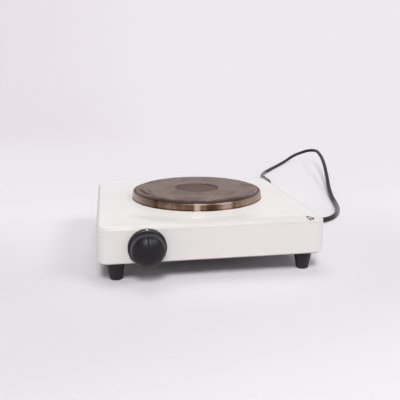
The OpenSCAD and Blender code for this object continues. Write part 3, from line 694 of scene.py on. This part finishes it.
@dataclass(frozen=True)
class Moulding(Finish):
    """Moulded plastic, rubber or pressed ceramic: fine grain, a duller bloom of dust and, at given spots, a
    painted sheen in the bloom's colour.
    """

    colour: Colour
    bloom: Colour
    roughness: float
    grain: float = 0.4 * MM
    grain_depth: float = 0.015 * MM
    dust: float = 0.3
    specular: float = 0.5
    bend_sheens: tuple[BendSheen, ...] = ()

    def paint(self, graph: Graph) -> None:
        """Writes the moulding into a tree."""
        place = graph.place()
        cloud = graph.noise(place, scale=55, detail=4)
        dusty = graph.rise(cloud, 0.45, 0.8) * self.dust
        grain = graph.noise(place, scale=1 / self.grain)
        flecks = graph.rise(graph.noise(place, scale=700, detail=1), 0.70, 0.76) * (self.dust * 0.5)
        worn = graph.greater(dusty, flecks)
        # Painted sheen at the given spots, in the bloom's colour
        for bend_sheen in self.bend_sheens:
            worn = graph.greater(worn, bend_sheen.mask(graph, place))
        graph.surface(
            Base_Color=graph.mix(self.colour, self.bloom, worn),
            Roughness=self.roughness + cloud * 0.12 + dusty * 0.2,
            Normal=graph.bump(grain, self.grain_depth), Specular_IOR_Level=self.specular,
        )


@dataclass(frozen=True)
class KnobPlastic(Finish):
    """Black phenolic with a painted highlight round the edge of its face, a dull pointer groove and a
    painted sheen on its flange, the highlight and the sheen both in blotches.
    """

    axis: Point
    colour: Colour
    # Colour of the painted highlight round the edge of the face
    rubbed: Colour
    # Colour of the painted sheen on the flange
    dusty: Colour
    edge_radius: float = 19.5 * MM
    rim_highlight_start: float = 1.3 * MM
    rim_highlight_full: float = 0.5 * MM
    flange_start: float = 1.1 * MM
    flange_full: float = 1.6 * MM
    groove_width: float = 1.4 * MM
    groove_low: float = 10.0 * MM
    groove_high: float = 17.0 * MM
    grain_depth: float = 0.006 * MM

    def paint(self, graph: Graph) -> None:
        """Writes the knob into a tree."""
        place = graph.place()
        x, _, z = graph.axes(place - self.axis)
        radius = graph.length(x, z)
        cloud = graph.noise(place, scale=90, detail=3)
        edge = self.edge_radius
        # Painted highlight round the edge of the face, in blotches
        rubbed = graph.rise(radius, edge - self.rim_highlight_start, edge - self.rim_highlight_full)
        rubbed = rubbed * graph.fall(radius, edge, edge + 0.2 * MM)
        colour = graph.mix(self.colour, self.rubbed, rubbed * (cloud * 0.7 + 0.3))
        # Painted sheen on the flange, in blotches
        flange = graph.rise(radius, edge + self.flange_start, edge + self.flange_full)
        colour = graph.mix(colour, self.dusty, flange * graph.rise(cloud, 0.35, 0.65) * 0.7)
        half = self.groove_width / 2
        groove = graph.fall(abs(x), half, half + 0.05 * MM)
        groove = groove * graph.rise(z, self.groove_low, self.groove_low + 0.1 * MM)
        groove = groove * graph.fall(z, self.groove_high, self.groove_high + 0.1 * MM)
        graph.surface(
            Base_Color=graph.mix(colour, (0.0, 0.0, 0.0), groove),
            Roughness=0.30 + cloud * 0.1 + groove * 0.55,
            Normal=graph.bump(graph.noise(place, scale=2800), self.grain_depth), Specular_IOR_Level=0.25,
        )


@dataclass(frozen=True)
class StripedSleeve(Finish):
    """Insulation with stripes of two colours across the wire."""

    first: Colour
    second: Colour
    pitch: float
    grain_depth: float = 0.02 * MM

    def paint(self, graph: Graph) -> None:
        """Writes the stripes into a tree."""
        place = graph.place()
        x, y, z = graph.axes(place)
        wave = graph.math("SINE", (x + y + z) * (2 * math.pi / self.pitch))
        grain = graph.noise(place, scale=1800)
        graph.surface(
            Base_Color=graph.mix(self.first, self.second, graph.rise(wave, -0.15, 0.15)),
            Roughness=0.42 + grain * 0.1, Normal=graph.bump(grain, self.grain_depth),
        )


@dataclass(frozen=True)
class Print(Finish):
    """White print on the knob, rubbed thin by fingers."""

    colour: Colour
    rubbed: Colour
    depth: float = 0.01 * MM

    def paint(self, graph: Graph) -> None:
        """Writes the print into a tree."""
        rub = graph.rise(graph.noise(graph.place(), scale=1600, detail=3), 0.5, 0.75)
        graph.surface(
            Base_Color=graph.mix(self.colour, self.rubbed, rub * 0.6), Roughness=0.45 + rub * 0.2,
            Normal=graph.bump(rub, self.depth),
        )


class Palette:
    """The hot plate's materials, each made when it is first used."""

    def __init__(self, finishes: Sequence[Finish]) -> None:
        """Keeps the finishes by their slots."""
        self.finishes = {finish.slot: finish for finish in finishes}
        self.made: dict[Slot, bpy.types.Material] = {}

    def material(self, slot: Slot) -> bpy.types.Material:
        """The material of a slot."""
        if slot not in self.made:
            self.made[slot] = self.finishes[slot].make()
        return self.made[slot]


def show(name: str, data: bpy.types.ID) -> bpy.types.Object:
    """A new object in the scene, with a mesh, curve, light or camera in it."""
    piece = bpy.data.objects.new(name, data)
    bpy.context.scene.collection.objects.link(piece)
    return piece


@dataclass
class SubAssembly:
    """Pieces of the hot plate that belong together."""

    palette: Palette

    def dress(self, slot: Slot, *names: str) -> None:
        """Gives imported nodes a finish.

        Args:
            slot: The finish's slot.
            names: The nodes.
        """
        for name in names:
            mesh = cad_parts[name].data
            mesh.materials.clear()
            mesh.materials.append(self.palette.material(slot))
            LOG.info("%s: %s", name, slot.value)

    def build(self) -> None:
        """Makes and dresses the pieces."""
        raise NotImplementedError


@dataclass
class Housing(SubAssembly):
    """Enamelled body, base sheet and feet."""

    def build(self) -> None:
        """Dresses the housing."""
        self.dress(Slot.ENAMEL, "body_shell")
        self.dress(Slot.BASE_STEEL, "base_plate")
        corners = [f"foot_{end}_{side}" for end in ("front", "rear") for side in ("left", "right")]
        self.dress(Slot.FOOT_PLASTIC, *corners)
        self.dress(Slot.ZINC_STEEL, "foot_screws", "foot_nuts", "earth_screw", "earth_nut")


@dataclass
class HotPlate(SubAssembly):
    """Casting, spill ring, heating spirals and the clamp under them."""

    def build(self) -> None:
        """Dresses the plate."""
        self.dress(Slot.CAST_IRON, "cooking_plate")
        self.dress(Slot.STAINED_STEEL, "spill_ring")
        self.dress(Slot.RESISTANCE_WIRE, "heating_spirals")
        self.dress(Slot.FILLER, "element_filler")
        self.dress(Slot.COVER_STEEL, "plate_cover")
        self.dress(Slot.ZINC_STEEL, "plate_stud", "clamp_yoke", "clamp_washer", "clamp_nut")
        self.dress(Slot.CERAMIC, "plate_connector")
        self.dress(Slot.BRASS, "connector_tabs")


@dataclass
class Control(SubAssembly):
    """Knob with its dial figures, shaft and regulator."""

    figures: tuple[tuple[str, float], ...] = (("0", 0.0), ("1", 140.0), ("2", 180.0), ("3", 220.0))
    figure_size: float = 3.0 * MM
    figure_stretch: float = 1.7
    figure_steps: int = 4
    print_depth: float = 0.06 * MM
    wall_gap: float = 1.2 * MM
    bevel_outer: float = 23.0 * MM
    bevel_inner: float = 20.8 * MM
    bevel_back: float = 3.6 * MM
    bevel_front: float = 5.2 * MM

    def build(self) -> None:
        """Dresses the control and prints its dial."""
        self.dress(Slot.KNOB_PLASTIC, "knob")
        self.dress(Slot.ZINC_STEEL, "control_shaft", "knob_clip", "regulator_bracket", "regulator_screws")
        self.dress(Slot.BRASS, "shaft_bush", "regulator_tabs")
        self.dress(Slot.PHENOLIC, "regulator_body")
        self.print_dial()

    def figure_mesh(self, figure: str) -> bpy.types.Mesh:
        """A figure as a flat solid round the origin.

        Args:
            figure: The figure.

        Returns:
            Its mesh, as wide and high as the print.
        """
        text = bpy.data.curves.new("figure", "FONT")
        text.body = figure
        text.size = self.figure_size
        text.align_x, text.align_y = "CENTER", "CENTER"
        text.extrude = self.print_depth / 2
        text.resolution_u = self.figure_steps
        holder = show("figure", text)
        shown = holder.evaluated_get(bpy.context.evaluated_depsgraph_get())
        mesh = bpy.data.meshes.new_from_object(shown)
        bpy.data.objects.remove(holder)
        return mesh

    def on_bevel(self, flat: Vector, angle: float, axis: Vector) -> Vector:
        """Bends a point of a flat figure onto the bevel of the knob's flange.

        Args:
            flat: The point: across, up and out of the print.
            angle: The figure's place round the knob, counter-clockwise from the right.
            axis: Where the knob's axis meets the wall.

        Returns:
            The point on the knob.
        """
        run, fall = self.bevel_outer - self.bevel_inner, self.bevel_front - self.bevel_back
        slant = math.hypot(run, fall)
        radius = (self.bevel_outer + self.bevel_inner) / 2 + (flat.y * run + flat.z * fall) / slant
        out = (self.bevel_front + self.bevel_back) / 2 + (flat.z * run - flat.y * fall) / slant
        turned = angle - flat.x * self.figure_stretch / radius
        return axis + Vector((radius * math.cos(turned), -out, radius * math.sin(turned)))

    def print_dial(self) -> None:
        """Prints the figures round the knob's flange, with the first one on top."""
        low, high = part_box("knob")
        axis = Vector(((low.x + high.x) / 2, high.y + self.wall_gap, (low.z + high.z) / 2))
        points: list[Vector] = []
        faces: list[list[int]] = []
        for figure, turn in self.figures:
            angle = math.radians(90.0 + turn)
            mesh = self.figure_mesh(figure)
            start = len(points)
            points += [self.on_bevel(vertex.co, angle, axis) for vertex in mesh.vertices]
            faces += [[start + corner for corner in face.vertices] for face in mesh.polygons]
            bpy.data.meshes.remove(mesh)
        dial = bpy.data.meshes.new("dial_figures")
        dial.from_pydata(points, [], faces)
        ink = Print(Slot.KNOB_PLASTIC, srgb(232, 230, 224), srgb(96, 96, 94)).make()
        ink.name = "dial_print"
        dial.materials.append(ink)
        piece = show("dial_figures", dial)
        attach(piece, "control")
        LOG.info("%s: %d figures", piece.name, len(self.figures))


@dataclass
class Wiring(SubAssembly):
    """Terminals, clamp and wires inside the body."""

    def build(self) -> None:
        """Dresses the wiring."""
        self.dress(Slot.GRIP_PLASTIC, "cord_saddle", "cord_clamp")
        self.dress(Slot.ZINC_STEEL, "saddle_screws", "block_screws")
        self.dress(Slot.CERAMIC, "terminal_block")
        self.dress(Slot.BRASS, "terminal_screws", "earth_tag")
        self.dress(Slot.INSULATION_BROWN, "core_live", "wire_live")
        self.dress(Slot.INSULATION_BLACK, "wire_switched")
        self.dress(Slot.INSULATION_BLUE, "core_neutral", "wire_neutral")
        self.dress(Slot.INSULATION_EARTH, "core_earth", "wire_earth")


@dataclass
class MainsLead(SubAssembly):
    """Rubber lead from the gland in the back wall to its plug."""

    diameter: float = 8.0 * MM
    length: float = 1.543
    steps: int = 8
    roundness: int = 4
    route: tuple[Point, ...] = (
        (0.088, 0.15025, 0.038), (0.088, 0.16825, 0.038), (0.088, 0.18625, 0.038), (0.088, 0.20625, 0.036),
        (0.089, 0.22825, 0.028), (0.092, 0.25225, 0.016), (0.098, 0.28025, 0.007), (0.112, 0.309, 0.004),
        (0.140, 0.339, 0.004), (0.178, 0.363, 0.004), (0.214, 0.390, 0.004), (0.235, 0.425, 0.004),
        (0.240, 0.467, 0.004), (0.243, 0.506, 0.004), (0.256, 0.538, 0.004), (0.278, 0.573, 0.004),
        (0.344, 0.668, 0.005), (0.367, 0.699, 0.007), (0.379, 0.714, 0.009), (0.392, 0.725, 0.013),
        (0.407, 0.730, 0.019), (0.423, 0.728, 0.025), (0.437, 0.719, 0.031), (0.446, 0.705, 0.034),
        (0.449, 0.688, 0.035), (0.440, 0.642, 0.035), (0.423, 0.580, 0.033), (0.400, 0.508, 0.029),
        (0.366, 0.408, 0.018), (0.334, 0.318, 0.008), (0.314, 0.256, 0.004), (0.284, 0.162, 0.004),
        (0.270, 0.134, 0.004), (0.250, 0.109, 0.004), (0.222, 0.091, 0.006), (0.192, 0.092, 0.011),
        (0.169, 0.110, 0.016), (0.160, 0.138, 0.019), (0.160, 0.150, 0.019), (0.160, 0.163, 0.019),
    )

    def slope(self, points: Sequence[Vector], index: int) -> Vector:
        """Direction of the lead at one of its points.

        Args:
            points: The route.
            index: The point's number.

        Returns:
            The direction, about one long.
        """
        if index == 0:
            return (points[1] - points[0]).normalized()
        if index == len(points) - 1:
            return (points[-1] - points[-2]).normalized()
        before, after = points[index] - points[index - 1], points[index + 1] - points[index]
        weighted = before.normalized() * after.length + after.normalized() * before.length
        return weighted / (before.length + after.length)

    def centreline(self) -> list[Vector]:
        """The route as a smooth curve that never sinks into the floor.

        Returns:
            Points close enough together to look round.
        """
        points = [Vector(point) for point in self.route]
        line = []
        for index in range(len(points) - 1):
            start, end = points[index], points[index + 1]
            reach = (end - start).length
            leave, arrive = self.slope(points, index) * reach, self.slope(points, index + 1) * reach
            for step in range(self.steps):
                t = step / self.steps
                line.append(
                    start * (2 * t**3 - 3 * t**2 + 1) + leave * (t**3 - 2 * t**2 + t)
                    + end * (3 * t**2 - 2 * t**3) + arrive * (t**3 - t**2)
                )
        line.append(points[-1])
        for point in line:
            point.z = max(point.z, self.diameter / 2)
        return line

    def build(self) -> None:
        """Lays the lead and dresses what is on it."""
        self.dress(Slot.CORD_RUBBER, "cord_gland", "cord_tail", "plug_body")
        self.dress(Slot.NICKEL, "plug_pins", "plug_clips")
        line = self.centreline()
        curve = bpy.data.curves.new("mains_lead", "CURVE")
        curve.dimensions = "3D"
        curve.bevel_depth = self.diameter / 2
        curve.bevel_resolution = self.roundness
        curve.use_fill_caps = True
        spline = curve.splines.new("POLY")
        spline.points.add(len(line) - 1)
        for knot, point in zip(spline.points, line):
            knot.co = (*point, 1.0)
        curve.materials.append(self.palette.material(Slot.CORD_RUBBER))
        lead = show("mains_lead", curve)
        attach(lead, "housing")
        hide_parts("mains_cord")
        LOG.info("%s: %d points", lead.name, len(line))


@dataclass(frozen=True)
class Lamp:
    """A soft lamp that faces the middle of the hot plate, and that lights it, shows in it or both."""

    name: str
    place: Point
    width: float
    height: float
    power: float
    mirrored: bool = True
    lights: bool = True

    def hang(self) -> None:
        """Hangs the lamp out of the camera's sight."""
        lamp = bpy.data.lights.new(self.name, "AREA")
        lamp.shape = "RECTANGLE"
        lamp.size, lamp.size_y = self.width, self.height
        lamp.energy = self.power
        holder = show(self.name, lamp)
        holder.location = self.place
        holder.rotation_euler = (-Vector(self.place)).to_track_quat("-Z", "Y").to_euler()
        holder.visible_camera = False
        holder.visible_glossy = self.mirrored
        holder.visible_diffuse = self.lights


@dataclass
class Studio:
    """Pale floor, soft light and the camera."""

    camera_place: Point = (-0.12215, -0.7231, 0.2414)
    camera_pitch: float = 13.16
    camera_yaw: float = 9.79
    lens: float = 48.08
    sensor: float = 36.0
    nearest: float = 0.02
    farthest: float = 100.0
    floor_radius: float = 12.0
    floor_sides: int = 96
    fade: Band = (0.35, 1.1)
    # Painted light on the floor: darker round the hot plate and lighter behind it and in front of it
    pale: Band = (-0.2, 0.25)
    front: Band = (0.2, 0.42)
    front_slant: float = 0.3
    front_share: float = 0.7
    floor_colour: Colour = srgb(229, 226, 229)
    painted_light_floor: Colour = srgb(246, 243, 246)
    backdrop: Colour = srgb(238, 233, 238)
    # Painted shade on the backdrop, to the left
    shaded_backdrop: Colour = srgb(231, 225, 230)
    grey_side: Band = (-0.2, 0.15)
    grey_reach: Band = (0.6, 2.0)
    sky: Colour = (1.0, 0.985, 1.0)
    sky_strength: float = 0.12
    ceiling: Colour = (0.16, 0.16, 0.165)
    ceiling_height: Band = (0.25, 0.62)
    # Name, place, width, height, power, whether it shows in reflections and whether it lights
    lamps: tuple[Lamp, ...] = (
        Lamp("key_lamp", (-0.90, -6.69, 7.43), 2.4, 3.0, 645.0, False),
        Lamp("shine_lamp", (-0.20, -6.69, 7.43), 6.0, 3.0, 710.0, True, False),
        Lamp("side_lamp", (5.80, -4.67, 6.68), 5.0, 2.4, 245.0),
        Lamp("front_lamp", (-6.04, -7.20, 3.42), 8.0, 3.6, 150.0, False),
        Lamp("top_lamp", (0.0, 2.60, 9.60), 6.0, 6.0, 170.0),
        Lamp("left_fill", (-8.0, -1.5, 2.2), 4.0, 2.0, 60.0, False),
        Lamp("right_fill", (8.0, -1.0, 2.2), 4.0, 2.0, 105.0, False),
    )

    def build(self) -> None:
        """Makes the floor, the light and the camera."""
        bpy.context.scene.view_settings.view_transform = "Standard"
        self.lay_floor()
        self.light_sky()
        for lamp in self.lamps:
            lamp.hang()
        self.place_camera()

    def lay_floor(self) -> None:
        """A round floor that fades into the backdrop far from the hot plate."""
        turns = [2 * math.pi * side / self.floor_sides for side in range(self.floor_sides)]
        rim = [(self.floor_radius * math.cos(a), self.floor_radius * math.sin(a), 0.0) for a in turns]
        mesh = bpy.data.meshes.new("floor")
        mesh.from_pydata(rim, [], [list(range(self.floor_sides))])
        material = bpy.data.materials.new("floor")
        material.use_nodes = True
        self.paint_floor(Graph(material.node_tree))
        mesh.materials.append(material)
        floor = show("floor", mesh)

    def paint_floor(self, graph: Graph) -> None:
        """Writes the floor's finish into a tree."""
        place = graph.place()
        x, y, _ = graph.axes(place)
        reach = graph.length(x, y)
        far = graph.rise(reach, *self.fade)
        # Painted light: the floor is lighter behind the hot plate and in front of it than round it
        behind = graph.rise(y, *self.pale)
        ahead = graph.rise(x * self.front_slant - y, *self.front) * self.front_share
        floor_with_painted_light = graph.mix(self.floor_colour, self.painted_light_floor, behind + ahead)
        grain = graph.shade(graph.noise(place, scale=300), 0.3, 0.7, 0.985)
        matte = graph.node(
            "ShaderNodeBsdfPrincipled",
            sockets={"Base Color": floor_with_painted_light * grain, "Roughness": 0.8, "Specular IOR Level": 0.2},
        )
        glow = graph.light("ShaderNodeEmission", self.backdrop)
        # The backdrop's glow, with painted shade to the left
        grey = graph.light("ShaderNodeEmission", self.shaded_backdrop)
        left = graph.fall(x / reach, *self.grey_side)
        left = left * graph.rise(reach, *self.grey_reach)
        surface = graph.blend(matte, graph.blend(glow, grey, left), far)
        graph.node("ShaderNodeOutputMaterial", sockets={"Surface": surface})

    def light_sky(self) -> None:
        """Even light from all round, which the camera sees as the backdrop and reflections as a room."""
        world = bpy.data.worlds.new("studio")
        world.use_nodes = True
        bpy.context.scene.world = world
        graph = Graph(world.node_tree)
        path = graph.node("ShaderNodeLightPath", output="Is Camera Ray")
        mirrored = graph.greater(path.output("Is Glossy Ray"), path.output("Is Transmission Ray"))
        across, _, height = graph.axes(graph.node("ShaderNodeTexCoord", output="Generated"))
        high = graph.rise(height, *self.ceiling_height)
        light = graph.light("ShaderNodeBackground", self.sky, self.sky_strength)
        pale = graph.light("ShaderNodeBackground", self.backdrop)
        dim = graph.light("ShaderNodeBackground", self.ceiling)
        # Painted shade on the backdrop, to the left
        grey = graph.light("ShaderNodeBackground", self.shaded_backdrop)
        wall = graph.blend(grey, pale, graph.rise(across, *self.grey_side))
        room = graph.blend(wall, dim, high * mirrored)
        surface = graph.blend(light, room, graph.greater(path, mirrored))
        graph.node("ShaderNodeOutputWorld", sockets={"Surface": surface})

    def place_camera(self) -> None:
        """Sets the camera at the photograph's viewing angle."""
        data = bpy.data.cameras.new("camera")
        data.lens = self.lens
        data.sensor_width = self.sensor
        data.clip_start = self.nearest
        data.clip_end = self.farthest
        camera = show("camera", data)
        camera.location = self.camera_place
        camera.rotation_euler = (math.radians(90 - self.camera_pitch), 0.0, -math.radians(self.camera_yaw))
        bpy.context.scene.camera = camera


def middle(node: str) -> Point:
    """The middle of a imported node's box, on the floor."""
    low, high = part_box(node)
    return (low.x + high.x) / 2, (low.y + high.y) / 2, 0.0


def finishes() -> list[Finish]:
    """The finishes of all slots.

    Returns:
        One finish for each slot.
    """
    shell_low, shell_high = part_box("body_shell")
    ring_low, ring_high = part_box("spill_ring")
    _, plate_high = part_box("cooking_plate")
    plate_centre = middle("cooking_plate")
    # Chips: centre, half width, reach to the back, reach to the front, hollow
    chips = (
        Chip((0.1195, -0.1187, shell_high.z), 3.3 * MM, 9.0 * MM, 4.5 * MM, 0.55),
        Chip((0.1231, -0.1205, shell_high.z), 1.5 * MM, 3.0 * MM, 2.0 * MM),
    )
    # Arcs, each: angle, half angle, radius, half width, strength; these first ones are painted reflections
    # of the plate and ring on the enamel, the next ones burnt crusts on the plate
    ring_reflections = (
        RimArc(-20, 21, 137.0 * MM, 17.0 * MM, 0.85),
        RimArc(17, 24, 132.0 * MM, 13.0 * MM, 0.75),
    )
    burns = (
        RimArc(-66, 20, 80.0 * MM, 5.0 * MM, 0.85),
        RimArc(-68, 15, 71.0 * MM, 2.2 * MM, 0.6),
        RimArc(-16, 30, 85.0 * MM, 4.0 * MM, 0.6),
        RimArc(34, 26, 84.0 * MM, 5.0 * MM, 0.6),
        RimArc(12, 12, 70.0 * MM, 1.6 * MM, 0.4),
        RimArc(-14, 9, 68.0 * MM, 1.8 * MM, 0.4),
    )
    # Stripes of painted highlight and painted reflection: angle, half angle, lift
    reflection_stripes = (
        ReflectionStripe(0, 4, 0.47), ReflectionStripe(5.5, 2.5, 0.12), ReflectionStripe(11.5, 7.5, -0.28), ReflectionStripe(24.5, 8, 0.33),
        ReflectionStripe(52, 24, 0.22), ReflectionStripe(-36, 3, -0.2), ReflectionStripe(-22, 9, 0.12),
    )
    # Painted grey sheen at two bends of the lead: centre, reach, strength
    bend_sheens = (
        BendSheen((0.243, 0.490, 0.004), 85.0 * MM, 0.7),
        BendSheen((0.282, 0.165, 0.004), 75.0 * MM, 0.55),
    )
    knob_low, knob_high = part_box("knob")
    knob_axis = ((knob_low.x + knob_high.x) / 2, 0.0, (knob_low.z + knob_high.z) / 2)
    grey, pale = srgb(152, 147, 150), srgb(186, 186, 182)
    sleeve = (0.45, 0.6 * MM, 0.03 * MM, 0.15)
    return [
        Enamel(
            Slot.ENAMEL, colour=srgb(241, 238, 237), darkening_colour=srgb(221, 218, 213), steel=srgb(74, 68, 64),
            ground=srgb(214, 210, 203), dull=srgb(215, 211, 210), thin=srgb(208, 204, 201),
            low=shell_low, high=shell_high, plate_centre=plate_centre, chips=chips, ring_reflections=ring_reflections,
        ),
        CastIron(
            Slot.CAST_IRON, body=srgb(147, 127, 120), stain=srgb(126, 107, 100), pale=srgb(159, 142, 137),
            recess=srgb(105, 84, 77), rim=srgb(56, 39, 33), centre=plate_centre,
            radius=plate_high.x - plate_centre[0], burns=burns,
        ),
        HeatTint(
            Slot.STAINED_STEEL, grey=srgb(170, 155, 151), right_flank_reflection=srgb(158, 142, 125),
            bright=srgb(206, 185, 168), straw=srgb(121, 99, 79), bronze=srgb(89, 70, 56),
            brown=srgb(60, 46, 39), centre=plate_centre, foot=ring_low.z, bead=ring_high.z,
            reflection_stripes=reflection_stripes, rubbed=ReflectionStripe(10, 30, 0.4),
        ),
        # Sheets: colour, dull colour, metallic, roughness, lay
        Sheet(Slot.BASE_STEEL, srgb(150, 150, 150), srgb(122, 121, 119), 0.6, 0.45, Lay.ALONG_X),
        Sheet(Slot.ZINC_STEEL, srgb(205, 206, 206), srgb(170, 170, 166), 1.0, 0.28),
        Sheet(Slot.COVER_STEEL, srgb(194, 194, 192), srgb(160, 159, 156), 0.9, 0.4, Lay.ALONG_Y),
        Sheet(Slot.RESISTANCE_WIRE, srgb(160, 156, 152), srgb(112, 106, 102), 0.9, 0.5),
        Sheet(Slot.BRASS, srgb(214, 184, 122), srgb(172, 140, 84), 1.0, 0.3),
        Sheet(Slot.NICKEL, srgb(222, 219, 214), srgb(196, 192, 184), 1.0, 0.16),
        KnobPlastic(
            Slot.KNOB_PLASTIC, axis=knob_axis, colour=srgb(24, 22, 27), rubbed=srgb(72, 71, 74),
            dusty=srgb(48, 49, 49),
        ),
        # Mouldings: colour, bloom, roughness, grain, depth of grain, dust, specular level, spots of painted
        # sheen
        Moulding(Slot.FOOT_PLASTIC, srgb(22, 20, 22), grey, 0.45, 0.5 * MM, 0.03 * MM, 0.04, 0.4),
        Moulding(Slot.CORD_RUBBER, srgb(24, 22, 25), grey, 0.46, 0.3 * MM, 0.015 * MM, 0.05, 0.34, bend_sheens),
        Moulding(Slot.PHENOLIC, srgb(84, 54, 40), srgb(120, 92, 74), 0.35, 0.5 * MM, 0.02 * MM, 0.3),
        Moulding(Slot.GRIP_PLASTIC, srgb(222, 220, 210), pale, 0.4, 0.4 * MM, 0.02 * MM, 0.4),
        Moulding(Slot.CERAMIC, srgb(236, 230, 214), srgb(206, 198, 180), 0.55, 0.25 * MM, 0.03 * MM, 0.5),
        Moulding(Slot.FILLER, srgb(226, 222, 210), srgb(196, 190, 176), 0.8, 0.3 * MM, 0.06 * MM, 0.6),
        Moulding(Slot.INSULATION_BROWN, srgb(112, 68, 44), pale, *sleeve),
        Moulding(Slot.INSULATION_BLACK, srgb(44, 44, 45), grey, *sleeve),
        Moulding(Slot.INSULATION_BLUE, srgb(62, 104, 178), pale, *sleeve),
        StripedSleeve(Slot.INSULATION_EARTH, srgb(74, 140, 62), srgb(226, 204, 62), 9.0 * MM),
    ]


def main() -> None:
    """Builds the sub-assemblies and the studio in order."""
    logging.basicConfig(level=logging.INFO, format="%(message)s")
    palette = Palette(finishes())
    Studio().build()
    for assembly in (MainsLead, Housing, HotPlate, Control, Wiring):
        assembly(palette).build()


if __name__ == "__main__":
    main()
